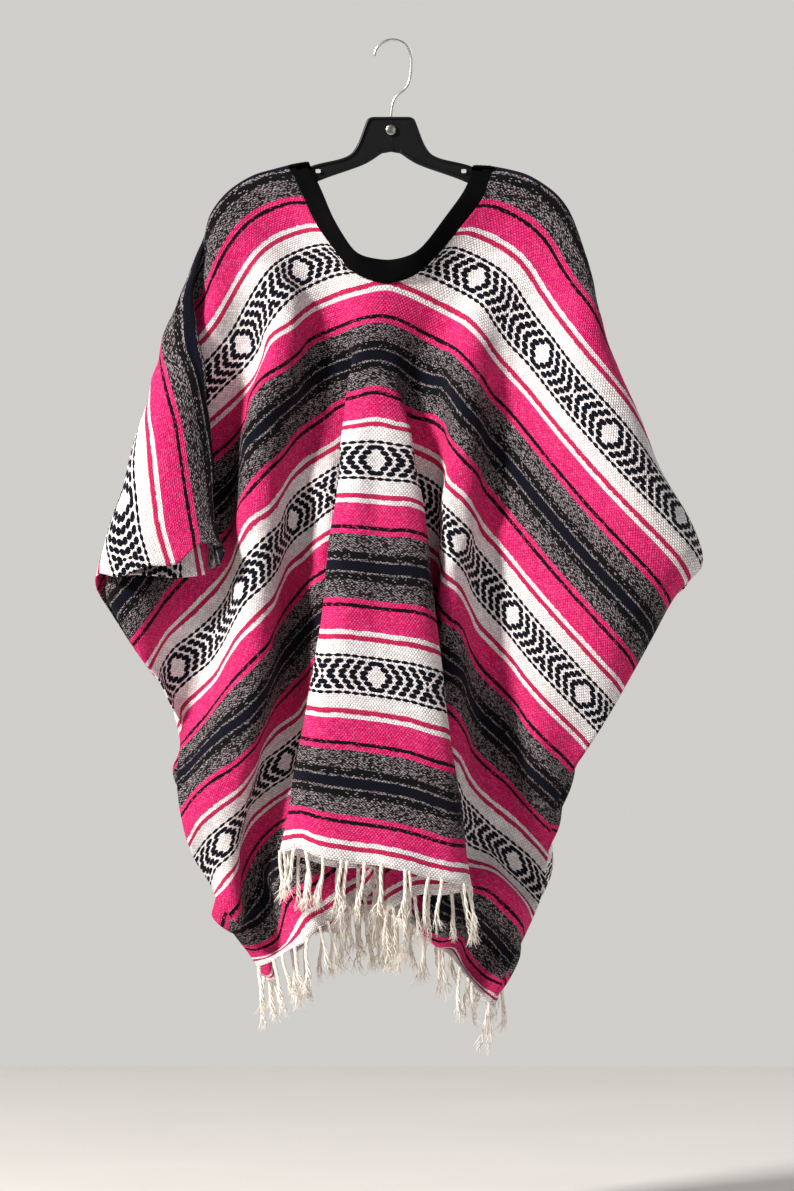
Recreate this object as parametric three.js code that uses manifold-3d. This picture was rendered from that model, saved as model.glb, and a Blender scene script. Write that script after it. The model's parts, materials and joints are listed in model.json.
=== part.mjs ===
/**
 * Woven striped poncho on a moulded coat hanger.
 *
 * Units are millimetres, +Z is up and the front faces -Y. The origin is the top of the inside of
 * the hanger's hook, where a rail carries the whole thing.
 *
 * The poncho is one woven length with a neck opening. A point of the cloth has two addresses: where
 * it lies on the flat length (across from the middle, along from the shoulder line) and where it
 * hangs (x, y, z). FOLDS gives both for the stations of every fold, and the cloth between the folds
 * is relaxed until it has its woven size again, without passing through itself.
 */
import * as THREE from 'three';
import { mergeVertices } from 'three/addons/utils/BufferGeometryUtils.js';
import ManifoldModule from 'manifold-3d';

const manifold = await ManifoldModule();
manifold.setup();

// ---------------------------------------------------------------- driving dimensions

const SEAM_GAP = 0.3; // between neighbouring pieces

const CLOTH = {
  halfWidth: 600, // middle to selvedge
  halfLength: 862, // shoulder line to hem, without the fringe
  wall: 1.8,
};

const NECK = {
  halfWidth: 46, // flat half opening on the shoulder line
  depth: 172, // flat reach of the opening to the front and to the back
  squareness: 1.6,
  roundness: 1.35,
  centreZ: -210, // inside the hung opening
};

const TRIM = { width: 23, wall: 2.6 };

const FRINGE = { length: 73, wall: 1.8, gap: 1, hang: 4 }; // hang: pull of its weight over the hem's own slope

// Where the cloth lies on the hanger: one row for each station of a shoulder, mirrored in x.
const SHOULDER = [
  { across: 46, x: 122, z: -151 },
  { across: 80, x: 156, z: -159 },
  { across: 115, x: 191, z: -177 },
  { across: 148, x: 212, z: -201 },
  { across: 174, x: 223, z: -225 },
];
const ROOF = { along: 12, halfDepth: 9, drop: 9 }; // the cloth just in front of and behind the crest

const HANGER = {
  thickness: 10,
  edgeRound: 2.5,
  seat: 10, // crest of the arm below the middle of the cloth
  armDepth: 22,
  topZ: -92,
  archZ: -134,
};
// Right side of the hub down to the arm, and the arch under the hub, mirrored in x.
const HUB_SIDE = [
  { x: 27, z: HANGER.topZ }, { x: 30, z: -98 }, { x: 42, z: -128 }, { x: 56, z: -141 }, { x: 92, z: -150 },
];
const ARCH = [{ x: 79, z: -166 }, { x: 34, z: -150 }, { x: 11, z: -136 }];

// The hook: a bend round the rail, then a sweep in to a straight shank.
const HOOK = {
  wire: 3.3,
  bend: 22.3, // radius of the wire's middle
  offset: 2, // middle of the bend beside the middle of the hanger
  tipAngle: 172,
  leaveAngle: 0,
  sweep: 60,
  shank: 50,
  sides: 10,
  steps: 56,
};

const STUD = { radius: 6.5, height: 2.4, edge: 0.8, z: -108 };

const CLIP = { x: 88, z: -158, width: 6, height: 4.6, depth: 0.9, corner: 1.2 };

// Rows and columns of the cloth's mesh, as distances on the flat length.
const ALONG_STOPS = [
  0, 12, 40, 75, 110, 145, 172, 208, 246, 284, 322, 360, 398,
  436, 474, 512, 550, 588, 626, 664, 702, 740, 778, 820, 862,
];
const ACROSS_STOPS = [
  0, 22, 45, 70, 95, 122, 152, 184, 216, 248, 280,
  312, 345, 378, 411, 444, 477, 510, 542, 573, 600,
];

// ---------------------------------------------------------------- folds

// Columns of a fold's stations.
const [ACROSS, ALONG, X, Y, Z] = [0, 1, 2, 3, 4];

/** A fold: how firmly its line is held in the front view and in depth, and its stations. */
function fold(name, holdFront, holdDepth, samples, stations) {
  return { name, hold: [holdFront, holdDepth, holdFront], samples, stations };
}

/** The same fold on the other side of the middle (left) or of the shoulder line (back). */
function twin(source, name, flip) {
  const stations = source.stations.map((station) => {
    const copy = station.slice();
    const columns = flip === 'left' ? [ACROSS, X] : [ALONG, Y];
    for (const column of columns) copy[column] = -copy[column];
    return copy;
  });
  return { ...source, name, stations };
}

const SHAPED_FOLDS = [
  fold('neck rim right', 1, 1, 10, [
    [46, 0, 122, 0, -152], [44, 40, 110, -14, -194], [39, 79, 82, -18, -230],
    [32, 110, 62, -20, -255], [18, 150, 31, -22, -282], [0, 172, -4, -24, -293],
  ]),
  fold('neck rim left', 1, 1, 10, [
    [-46, 0, -122, 0, -150], [-44, 40, -105, -14, -192], [-39, 79, -90, -18, -224],
    [-32, 110, -70, -20, -252], [-18, 150, -41, -22, -281], [0, 172, -4, -24, -293],
  ]),
  fold('front pleat middle', 0.5, 0.5, 8, [
    [0, 256, -18, -27, -371], [0, 384, -17, -57, -509], [0, 512, -18, -87, -638],
    [0, 640, -17, -112, -768], [0, 768, -16, -130, -898], [0, 862, -18, -140, -989],
  ]),
  fold('front pleat edge right', 0.9, 0.7, 14, [
    [27, 300, 10, -30, -434], [40, 384, 21, -52, -514], [60, 512, 33, -80, -644],
    [78, 640, 50, -104, -783], [90, 768, 68, -120, -921], [95, 862, 70, -128, -1010],
  ]),
  fold('front pleat edge left', 0.9, 0.7, 14, [
    [-27, 300, -46, -30, -432], [-40, 384, -56, -52, -509], [-60, 512, -70, -80, -635],
    [-78, 640, -86, -104, -764], [-90, 768, -99, -120, -886], [-95, 862, -106, -128, -970],
  ]),
  fold('front pleat side right', 0.4, 0.6, 12, [
    [45, 300, 11, -23, -438], [85, 384, 19, -34, -531], [132, 512, 19, -50, -669],
    [166, 640, 23, -66, -818], [195, 768, 25, -76, -943], [217, 862, 28, -80, -1027],
  ]),
  fold('front pleat side left', 0.4, 0.5, 12, [
    [-45, 300, -47, -23, -433], [-78, 384, -45, -30, -508], [-118, 512, -47, -43, -640],
    [-156, 640, -53, -55, -774], [-200, 768, -60, -63, -897], [-232, 862, -64, -67, -1001],
  ]),
  fold('front pleat valley right', 0.4, 0.6, 12, [
    [62, 300, 13, -16, -440], [135, 384, 28, -8, -549], [205, 512, 18, -6, -695],
    [255, 640, 11, -6, -852], [300, 768, 5, -6, -964], [340, 862, 1, -6, -1043],
  ]),
  fold('front pleat valley left', 0.4, 0.6, 12, [
    [-62, 300, -47, -16, -434], [-118, 384, -31, -8, -507], [-175, 512, -26, -6, -646],
    [-235, 640, -23, -6, -785], [-295, 768, -24, -8, -906], [-340, 862, -24, -8, -1031],
  ]),
  fold('front outer ridge right', 0.7, 0.6, 12, [
    [135, 256, 68, -28, -415], [275, 384, 79, -44, -604], [372, 512, 82, -50, -755],
    [448, 640, 83, -50, -938], [495, 768, 81, -50, -1054], [505, 862, 69, -50, -1100],
  ]),
  fold('front ridge side right', 0.4, 0.6, 12, [
    [205, 384, 59, -22, -577], [288, 512, 57, -24, -725], [352, 640, 52, -24, -894],
    [398, 768, 47, -24, -1009], [420, 862, 36, -26, -1071],
  ]),
  fold('front outer valley right', 0.5, 0.3, 10, [
    [180, 140, 138, -16, -350], [270, 256, 127, -18, -494], [410, 384, 144, -18, -691],
    [518, 512, 156, -22, -864],
  ]),
  fold('front outer ridge left', 0.6, 0.4, 12, [
    [-150, 128, -137, -30, -301], [-240, 256, -151, -56, -463], [-385, 384, -166, -70, -641],
    [-480, 512, -174, -70, -817], [-530, 640, -188, -56, -955], [-570, 768, -179, -30, -1066],
  ]),
  fold('front ridge side left', 0.4, 0.5, 12, [
    [-200, 384, -74, -24, -543], [-270, 512, -71, -30, -691], [-330, 640, -74, -34, -824],
    [-390, 768, -83, -38, -952], [-430, 862, -56, -34, -1053],
  ]),
  fold('front outer valley left', 0.5, 0.3, 10, [
    [-240, 128, -180, -10, -371], [-360, 256, -194, -6, -540], [-490, 384, -219, -4, -725],
    [-592, 470, -250, -12, -847],
  ]),
  fold('front inner valley left', 0.4, 0.3, 10, [
    [-180, 256, -106, -22, -425], [-290, 384, -120, -14, -580], [-370, 512, -123, -8, -743],
    [-425, 640, -134, -8, -876], [-470, 768, -156, -12, -991],
  ]),
  fold('front hem right', 0.7, 0.5, 10, [
    [340, 862, 4, -8, -1043], [420, 862, 36, -26, -1070], [505, 862, 69, -50, -1100],
    [555, 862, 93, -50, -1131], [600, 862, 120, -44, -1163],
  ]),
  fold('front hem left', 0.7, 0.5, 10, [
    [-340, 862, -27, -10, -1031], [-420, 862, -60, -34, -1053], [-500, 862, -97, -60, -1081],
    [-550, 862, -129, -44, -1100], [-600, 862, -162, -12, -1118],
  ]),
  fold('front selvedge right upper', 0.8, 0.2, 8, [
    [600, 108, 371, -26, -630], [600, 192, 344, -32, -667], [600, 256, 311, -44, -725],
    [600, 384, 259, -34, -819],
  ]),
  fold('front selvedge right lower', 0.8, 0.2, 10, [
    [600, 384, 259, -34, -819], [600, 512, 201, -20, -916], [600, 640, 182, -14, -1027],
    [600, 768, 146, -24, -1110], [600, 862, 120, -44, -1163],
  ]),
  fold('front selvedge left upper', 0.8, 0.3, 8, [
    [-600, 195, -328, -28, -660], [-600, 222, -333, -32, -674], [-600, 256, -328, -44, -690],
    [-600, 320, -300, -44, -743], [-600, 384, -270, -24, -788], [-600, 448, -253, -10, -840],
  ]),
  fold('front selvedge left lower', 0.8, 0.2, 10, [
    [-600, 448, -253, -10, -840], [-600, 512, -257, -28, -888], [-600, 576, -248, -46, -955],
    [-600, 640, -227, -46, -1001], [-600, 768, -186, -24, -1073], [-600, 862, -162, -12, -1118],
  ]),
  fold('gusset ridge front', 0.8, 0.3, 14, [
    [185, 10, 231, -14, -252], [285, 37, 255, -34, -350], [385, 60, 290, -38, -448],
    [495, 82, 332, -34, -546], [600, 108, 371, -26, -630],
  ]),
  fold('gusset crease', 0.5, 0.6, 10, [
    [178, 0, 224, 0, -231], [385, 0, 243, 2, -434], [600, 0, 267, 4, -646],
  ]),
  fold('gusset ridge back', 0.5, 0.3, 14, [
    [185, -10, 231, 14, -252], [285, -37, 253, 34, -350], [385, -60, 286, 38, -448],
    [495, -82, 325, 36, -546], [600, -108, 364, 34, -630],
  ]),
  fold('flap front edge', 0.9, 0.9, 12, [
    [-178, 0, -224, -1, -228], [-230, 0, -233, -16, -270], [-270, 0, -240, -30, -313],
    [-350, -16, -246, -52, -392], [-440, -34, -243, -66, -483], [-530, -45, -240, -80, -567],
    [-600, -52, -238, -86, -617],
  ]),
  fold('flap middle', 0.5, 0.7, 8, [
    [-330, -22, -258, -42, -376], [-395, -51, -265, -60, -437], [-465, -70, -272, -72, -501],
    [-530, -94, -287, -80, -580], [-600, -115, -294, -84, -633],
  ]),
  fold('flap outer edge', 0.8, 0.6, 12, [
    [-270, -14, -253, -20, -313], [-330, -30, -270, -30, -368], [-395, -76, -288, -44, -437],
    [-465, -104, -304, -54, -495], [-540, -150, -338, -60, -604], [-600, -177, -351, -60, -644],
  ]),
  fold('behind the flap edge', 0.6, 0.6, 8, [
    [-300, -48, -264, -8, -352], [-395, -96, -292, -14, -439], [-500, -156, -327, -20, -559],
    [-600, -215, -355, -20, -667],
  ]),
  fold('pocket crease', 0.7, 0.7, 12, [
    [-190, 3, -223, -4, -238], [-230, 9, -232, -8, -276], [-290, 34, -246, -12, -338],
    [-390, 92, -268, -18, -448], [-500, 146, -299, -22, -561], [-560, 176, -316, -26, -626],
    [-600, 195, -328, -28, -660],
  ]),
  fold('front behind the flap', 0, 0.7, 8, [
    [-260, 60, 0, -20, 0], [-330, 98, 0, -24, 0], [-400, 128, 0, -28, 0], [-470, 165, 0, -30, 0],
    [-560, 205, 0, -34, 0],
  ]),
  fold('back pleat edge right', 0.7, 0.6, 12, [
    [26, -300, 14, 30, -428], [38, -384, 26, 46, -514], [52, -512, 38, 66, -652],
    [66, -640, 48, 82, -797], [84, -862, 60, 96, -1027],
  ]),
  fold('back pleat edge left', 0.7, 0.6, 12, [
    [-26, -300, -28, 30, -428], [-38, -384, -38, 46, -514], [-52, -512, -50, 66, -652],
    [-66, -640, -60, 82, -797], [-84, -862, -72, 96, -1033],
  ]),
  fold('back pleat side right', 0.4, 0.5, 12, [
    [53, -300, 14, 22, -431], [94, -384, 18, 30, -529], [123, -512, 22, 46, -674],
    [153, -640, 24, 58, -824], [190, -862, 30, 66, -1043],
  ]),
  fold('back pleat side left', 0.4, 0.5, 12, [
    [-53, -300, -27, 22, -431], [-94, -384, -30, 30, -529], [-123, -512, -34, 46, -674],
    [-153, -640, -36, 58, -824], [-190, -862, -36, 66, -1045],
  ]),
  fold('back pleat valley right', 0.3, 0.5, 10, [
    [80, -300, 17, 14, -432], [150, -384, 21, 10, -543], [235, -640, 11, 8, -852],
    [300, -862, 4, 10, -1058],
  ]),
  fold('back pleat valley left', 0.8, 0.8, 12, [
    [-80, -300, -35, 14, -432], [-150, -384, -39, 10, -543], [-235, -640, -38, 8, -852],
    [-300, -862, -34, 8, -1058],
  ]),
  fold('back outer ridge right', 0.4, 0.5, 10, [
    [150, -120, 118, 28, -313], [270, -300, 118, 42, -531], [390, -512, 122, 48, -797],
    [490, -862, 110, 46, -1112],
  ]),
  fold('back outer ridge left', 0.4, 0.5, 10, [
    [-150, -120, -128, 28, -313], [-270, -300, -132, 42, -531], [-390, -512, -134, 48, -797],
    [-490, -862, -122, 46, -1100],
  ]),
  fold('back ridge side right', 0.4, 0.5, 12, [
    [234, -384, 72, 24, -592], [292, -512, 70, 26, -747], [335, -640, 66, 26, -880],
    [395, -862, 60, 26, -1082],
  ]),
  fold('back ridge side left', 0.4, 0.5, 12, [
    [-234, -384, -86, 24, -592], [-292, -512, -84, 26, -747], [-335, -640, -82, 28, -880],
    [-395, -862, -80, 32, -1080],
  ]),
  fold('back hem right', 0.5, 0.5, 8, [
    [300, -862, 4, 10, -1058], [395, -862, 60, 26, -1082], [490, -862, 110, 46, -1112],
    [600, -862, 132, 46, -1172],
  ]),
  fold('back hem left', 0.5, 0.5, 8, [
    [-300, -862, -34, 8, -1058], [-395, -862, -80, 32, -1080], [-490, -862, -122, 46, -1102],
    [-600, -862, -156, 44, -1130],
  ]),
  fold('back selvedge right', 0.8, 0.2, 12, [
    [600, -108, 362, 34, -630], [600, -256, 308, 46, -731], [600, -384, 250, 34, -829],
    [600, -512, 208, 36, -916], [600, -640, 184, 46, -1021], [600, -768, 148, 50, -1112],
    [600, -862, 126, 52, -1166],
  ]),
  fold('back selvedge left', 0.5, 0.4, 12, [
    [-600, -215, -351, -20, -667], [-600, -256, -333, 12, -698], [-600, -300, -307, 26, -739],
    [-600, -384, -265, 42, -803], [-600, -512, -241, 40, -918], [-600, -640, -213, 46, -1015],
    [-600, -768, -174, 50, -1094], [-600, -862, -156, 50, -1130],
  ]),
];

/** Shoulder crest, the cloth's roof beside it and the neck rim, with their twins. */
function allFolds() {
  const crest = fold('shoulder right', 1, 1, 8, SHOULDER.map((row) => [row.across, 0, row.x, 0, row.z]));
  const roof = fold('roof front right', 0.6, 1, 6, SHOULDER.map((row) => [
    row.across, ROOF.along, row.x - 2, -ROOF.halfDepth, row.z - ROOF.drop,
  ]));
  const roofLeft = twin(roof, 'roof front left', 'left');
  const rims = SHAPED_FOLDS.filter((row) => row.name.startsWith('neck rim'));
  return [
    crest,
    twin(crest, 'shoulder left', 'left'),
    roof,
    roofLeft,
    twin(roof, 'roof back right', 'back'),
    twin(roofLeft, 'roof back left', 'back'),
    ...SHAPED_FOLDS,
    ...rims.map((row) => twin(row, `${row.name} back`, 'back')),
  ];
}

const FOLDS = allFolds();
const FOLD_BY_NAME = new Map(FOLDS.map((row) => [row.name, row]));

/** Point at fraction t of a fold, on a smooth curve through its stations. */
function pointOnFold(stations, t) {
  const last = stations.length - 1;
  const place = Math.min(Math.max(t, 0), 1) * last;
  const index = Math.min(Math.floor(place), last - 1);
  const f = place - index;
  const from = stations[index];
  const to = stations[index + 1];
  const before = stations[index - 1] ?? from.map((value, c) => 2 * value - to[c]);
  const after = stations[index + 2] ?? to.map((value, c) => 2 * value - from[c]);
  return from.map((value, c) => 0.5 * (2 * value + (to[c] - before[c]) * f
    + (2 * before[c] - 5 * value + 4 * to[c] - after[c]) * f * f
    + (3 * value - before[c] - 3 * to[c] + after[c]) * f * f * f));
}

/** A fold's value in one column where another column has the given distance. */
function foldColumn(name, keyColumn, key, valueColumn) {
  const rows = FOLD_BY_NAME.get(name).stations
    .map((station) => [Math.abs(station[keyColumn]), station[valueColumn]])
    .sort((a, b) => a[0] - b[0]);
  let index = 0;
  while (index < rows.length - 2 && rows[index + 1][0] < Math.abs(key)) index += 1;
  const [start, end] = [rows[index], rows[index + 1]];
  const f = Math.min((Math.abs(key) - start[0]) / (end[0] - start[0]), 1);
  return start[1] + (end[1] - start[1]) * f;
}

// ---------------------------------------------------------------- the flat cloth

/** Flat half width of the neck opening at a distance along from the shoulder line. */
function neckEdge(along) {
  const reach = Math.min(Math.abs(along) / NECK.depth, 1);
  return NECK.halfWidth * (1 - reach ** NECK.squareness) ** (1 / NECK.roundness);
}

/** Mesh of the flat cloth: rows run from the front hem to the back hem, columns left to right. */
function flatCloth() {
  const middle = ACROSS_STOPS.length - 1;
  const rows = [...ALONG_STOPS.slice().reverse(), ...ALONG_STOPS.slice(1).map((along) => -along)];
  const columns = 2 * ACROSS_STOPS.length;
  const ids = [];
  const flat = [];
  for (const along of rows) {
    const edge = neckEdge(along);
    const line = [];
    for (let i = 0; i < columns; i += 1) {
      const right = i > middle;
      if (i === middle + 1 && edge === 0) {
        line.push(line[middle]);
        continue;
      }
      const stop = ACROSS_STOPS[right ? i - middle - 1 : middle - i];
      const across = edge + (CLOTH.halfWidth - edge) * (stop / CLOTH.halfWidth);
      line.push(flat.length);
      flat.push([right ? across : -across, along]);
    }
    ids.push(line);
  }
  const triangles = [];
  for (let j = 0; j + 1 < rows.length; j += 1) {
    for (let i = 0; i + 1 < columns; i += 1) {
      if (i === middle) continue;
      const [a, b] = [ids[j][i], ids[j][i + 1]];
      const [c, d] = [ids[j + 1][i], ids[j + 1][i + 1]];
      const lean = (flat[a][0] + flat[b][0] > 0) === (rows[j] + rows[j + 1] > 0);
      const pair = lean ? [[a, b, c], [b, d, c]] : [[a, d, c], [a, b, d]];
      const panel = rows[j] > 0 ? 'front' : 'back';
      for (const corners of pair) {
        if (new Set(corners).size === 3) triangles.push({ corners, panel });
      }
    }
  }
  return { rows, columns, middle, ids, flat, triangles };
}

/** The four mesh points around a place on the flat cloth, with their weights. */
function locate(cloth, across, along) {
  const { rows, ids, middle } = cloth;
  let j = 0;
  while (j < rows.length - 2 && rows[j + 1] > along) j += 1;
  const down = Math.min(Math.max((rows[j] - along) / (rows[j] - rows[j + 1]), 0), 1);
  const edge = neckEdge(along);
  const stop = Math.max((Math.abs(across) - edge) / (CLOTH.halfWidth - edge), 0) * CLOTH.halfWidth;
  let k = 0;
  while (k < middle - 1 && ACROSS_STOPS[k + 1] < stop) k += 1;
  const span = ACROSS_STOPS[k + 1] - ACROSS_STOPS[k];
  const out = Math.min(Math.max((stop - ACROSS_STOPS[k]) / span, 0), 1);
  const column = (n) => (across >= 0 ? middle + 1 + n : middle - n);
  const near = [];
  for (const [dk, wk] of [[0, 1 - out], [1, out]]) {
    for (const [dj, wj] of [[0, 1 - down], [1, down]]) {
      if (wk * wj > 1e-6) near.push([ids[j + dj][column(k + dk)], wk * wj]);
    }
  }
  return near;
}

/**
 * Order of the cloth from front to back where it lies over itself: 2 and 3 are the front and the
 * back, the pleats lie outside them, the doubled left wing lies in front, and the two sides of the
 * right wing's gusset lie between.
 */
function layerOf([across, along]) {
  const side = across < 0 ? 'left' : 'right';
  if (across < -195 && along <= foldColumn('pocket crease', ACROSS, across, ALONG)) {
    if (along > foldColumn('flap front edge', ACROSS, across, ALONG)) return -1;
    if (along > foldColumn('flap outer edge', ACROSS, across, ALONG)) return -2;
  }
  if (across > 190) {
    const front = foldColumn('gusset ridge front', ACROSS, across, ALONG);
    const back = foldColumn('gusset ridge back', ACROSS, across, ALONG);
    if (along >= 0 && along < front) return 2.33;
    if (along < 0 && along > back) return 2.67;
  }
  const panel = along < 0 ? 'back' : 'front';
  const [strip, leg, main] = panel === 'back' ? [5, 4, 3] : [0, 1, 2];
  if (Math.abs(along) > 280) {
    const edge = foldColumn(`${panel} pleat edge ${side}`, ALONG, along, ACROSS);
    const valley = foldColumn(`${panel} pleat valley ${side}`, ALONG, along, ACROSS);
    if (Math.abs(across) < Math.abs(edge)) return strip;
    if (Math.abs(across) < Math.abs(valley)) return leg;
  }
  return main;
}

// ---------------------------------------------------------------- relaxing the cloth

const RELAX = {
  fillSteps: 500,
  steps: 700,
  sweeps: 2,
  damping: 0.9,
  gravity: 0.25,
  holdStrength: 0.5,
  compressionSlack: 20,
  shearSlack: 3,
  bendSlack: 3,
  smoothing: 0.14,
  selvedgeSmoothing: 0.3,
  layerGap: 9,
  contactEvery: 3,
  contactFrom: 60,
  contactSoftness: 0.8,
  contactReach: 30, // nearer neighbours on the flat cloth may come closer than the layer gap
  contactCell: 45,
  contactPush: 6,
};
const ARM_CLEARANCE = { side: 0.7, below: 12, end: 6 };
const SIDE_GAP = 5; // least depth of the front and of the back from the middle plane
const MIDDLE_X = { left: -16, right: -6 }; // how near the middle the outer cloth may come

/** Springs of the cloth: along, across, diagonal and over two cells. */
function clothSprings(cloth, layers) {
  const { ids, flat, middle, columns } = cloth;
  const springs = [];
  const add = (a, b, slack, bend) => {
    if (a === b) return;
    const under = layers[a] === -1 && layers[b] === -1;
    const hidden = under && Math.max(flat[a][1], flat[b][1]) < 60 - 0.1 * flat[a][0];
    if (hidden && bend) return;
    const rest = Math.hypot(flat[a][0] - flat[b][0], flat[a][1] - flat[b][1]);
    springs.push({ a, b, rest, slack, bend, pressSlack: hidden ? 1e6 : RELAX.compressionSlack });
  };
  for (let j = 0; j < ids.length; j += 1) {
    for (let i = 0; i < columns; i += 1) {
      const a = ids[j][i];
      const below = ids[j + 1];
      const beside = i + 1 < columns && i !== middle;
      if (beside) add(a, ids[j][i + 1], 0, false);
      if (below) add(a, below[i], 0, false);
      if (beside && below) {
        add(a, below[i + 1], RELAX.shearSlack, false);
        add(ids[j][i + 1], below[i], RELAX.shearSlack, false);
      }
      if (j + 2 < ids.length) add(a, ids[j + 2][i], RELAX.bendSlack, true);
      if (i + 2 < columns) {
        const closed = ids[j][middle] === ids[j][middle + 1];
        if (i + 2 <= middle || i > middle) add(a, ids[j][i + 2], RELAX.bendSlack, true);
        else if (closed && i === middle - 1) add(a, ids[j][i + 3], RELAX.bendSlack, true);
      }
    }
  }
  return springs;
}

/** Neighbours of each point with weights, for filling and smoothing. */
function clothNeighbours(cloth) {
  const { ids, flat, middle, columns } = cloth;
  const near = flat.map(() => new Map());
  const link = (a, b) => {
    if (a === b) return;
    const weight = 1 / Math.hypot(flat[a][0] - flat[b][0], flat[a][1] - flat[b][1]);
    near[a].set(b, weight);
    near[b].set(a, weight);
  };
  for (let j = 0; j < ids.length; j += 1) {
    for (let i = 0; i < columns; i += 1) {
      if (i + 1 < columns && i !== middle) link(ids[j][i], ids[j][i + 1]);
      if (j + 1 < ids.length) link(ids[j][i], ids[j + 1][i]);
    }
  }
  return near.map((links) => [...links]);
}

/** Iron the right selvedge: move its points part of the way to the middle of those before and after. */
function ironSelvedge(points, { ids }, amount) {
  for (let j = 1; j + 1 < ids.length; j += 1) {
    const [from, v, to] = [ids[j - 1].at(-1), ids[j].at(-1), ids[j + 1].at(-1)];
    for (let c = 0; c < 3; c += 1) {
      const middle = (points[3 * from + c] + points[3 * to + c]) / 2;
      points[3 * v + c] += amount * (middle - points[3 * v + c]);
    }
  }
}

/** Move every point with enough neighbours part of the way to their mean. */
function smooth(points, neighbours, amount, fewest) {
  for (let v = 0; v < neighbours.length; v += 1) {
    if (neighbours[v].length < fewest) continue;
    let total = 0;
    const mean = [0, 0, 0];
    for (const [other, weight] of neighbours[v]) {
      total += weight;
      for (let c = 0; c < 3; c += 1) mean[c] += weight * points[3 * other + c];
    }
    for (let c = 0; c < 3; c += 1) {
      points[3 * v + c] += amount * (mean[c] / total - points[3 * v + c]);
    }
  }
}

/** Places on the cloth that the folds hold, with where they are held. */
function foldHolds(cloth) {
  const holds = [];
  for (const row of FOLDS) {
    for (let q = 0; q <= row.samples; q += 1) {
      const point = pointOnFold(row.stations, q / row.samples);
      const near = locate(cloth, point[ACROSS], point[ALONG]);
      const share = near.reduce((sum, [, weight]) => sum + weight * weight, 0);
      holds.push({ near, share, goal: [point[X], point[Y], point[Z]], hold: row.hold });
    }
  }
  return holds;
}

/** Pull the held places towards their folds. */
function applyHolds(points, holds, strength) {
  for (const { near, share, goal, hold } of holds) {
    for (let c = 0; c < 3; c += 1) {
      let now = 0;
      for (const [v, weight] of near) now += weight * points[3 * v + c];
      const move = (strength(hold[c]) * (goal[c] - now)) / share;
      for (const [v, weight] of near) points[3 * v + c] += weight * move;
    }
  }
}

/** Triangles listed by the cells of a grid in the front view. */
function frontViewCells(points, triangles) {
  const cells = new Map();
  const cell = (value) => Math.floor(value / RELAX.contactCell);
  triangles.forEach(({ corners }, t) => {
    const xs = corners.map((v) => points[3 * v]);
    const zs = corners.map((v) => points[3 * v + 2]);
    for (let i = cell(Math.min(...xs)); i <= cell(Math.max(...xs)); i += 1) {
      for (let k = cell(Math.min(...zs)); k <= cell(Math.max(...zs)); k += 1) {
        const key = `${i},${k}`;
        if (!cells.has(key)) cells.set(key, []);
        cells.get(key).push(t);
      }
    }
  });
  return (x, z) => cells.get(`${cell(x)},${cell(z)}`) ?? [];
}

/** Keep layers that cover each other in the front view in their order, with a gap between. */
function separateLayers(points, cloth, layers, triangleLayers) {
  const { flat, triangles } = cloth;
  const trianglesAt = frontViewCells(points, triangles);
  for (let v = 0; v < flat.length; v += 1) {
    const [x, z] = [points[3 * v], points[3 * v + 2]];
    for (const t of trianglesAt(x, z)) {
      const order = layers[v] - triangleLayers[t];
      const [a, b, c] = triangles[t].corners;
      if (Math.abs(order) < 0.3 || a === v || b === v || c === v) continue;
      const across = (flat[a][0] + flat[b][0] + flat[c][0]) / 3 - flat[v][0];
      const along = (flat[a][1] + flat[b][1] + flat[c][1]) / 3 - flat[v][1];
      const need = RELAX.layerGap * Math.min(1, Math.hypot(across, along) / RELAX.contactReach);
      const [ax, az] = [points[3 * a], points[3 * a + 2]];
      const [bx, bz] = [points[3 * b], points[3 * b + 2]];
      const [cx, cz] = [points[3 * c], points[3 * c + 2]];
      const area = (bz - cz) * (ax - cx) + (cx - bx) * (az - cz);
      if (Math.abs(area) < 20) continue;
      const wa = ((bz - cz) * (x - cx) + (cx - bx) * (z - cz)) / area;
      const wb = ((cz - az) * (x - cx) + (ax - cx) * (z - cz)) / area;
      const wc = 1 - wa - wb;
      if (Math.min(wa, wb, wc) < -0.02) continue;
      const depth = wa * points[3 * a + 1] + wb * points[3 * b + 1] + wc * points[3 * c + 1];
      const sign = Math.sign(order);
      const lack = need - sign * (points[3 * v + 1] - depth);
      if (lack <= 0) continue;
      const push = sign * Math.min(lack * RELAX.contactSoftness, RELAX.contactPush);
      const share = wa * wa + wb * wb + wc * wc;
      points[3 * v + 1] += 0.5 * push;
      points[3 * a + 1] -= (0.5 * push * wa) / share;
      points[3 * b + 1] -= (0.5 * push * wb) / share;
      points[3 * c + 1] -= (0.5 * push * wc) / share;
    }
  }
}

/** Crest of an arm: the shoulder line moved square to itself, under the cloth. */
function armCrest() {
  return SHOULDER.map((row, index) => {
    const before = SHOULDER[Math.max(index - 1, 0)];
    const after = SHOULDER[Math.min(index + 1, SHOULDER.length - 1)];
    const slope = new THREE.Vector2(after.x - before.x, after.z - before.z).normalize();
    return new THREE.Vector2(row.x + slope.y * HANGER.seat, row.z - slope.x * HANGER.seat);
  });
}

// Top of the hanger from the hub to the arm's end.
const ARM_LINE = [...HUB_SIDE.map(({ x, z }) => new THREE.Vector2(x, z)), ...armCrest()];

/** Height of an arm's crest at a distance from the middle, or null beyond the arm. */
function crestHeight(crest, x) {
  const index = crest.findIndex((point) => point.x >= x);
  if (index < 0) return null;
  if (index === 0) return crest[0].y;
  const [start, end] = [crest[index - 1], crest[index]];
  return start.y + ((end.y - start.y) * (x - start.x)) / (end.x - start.x);
}

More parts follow.
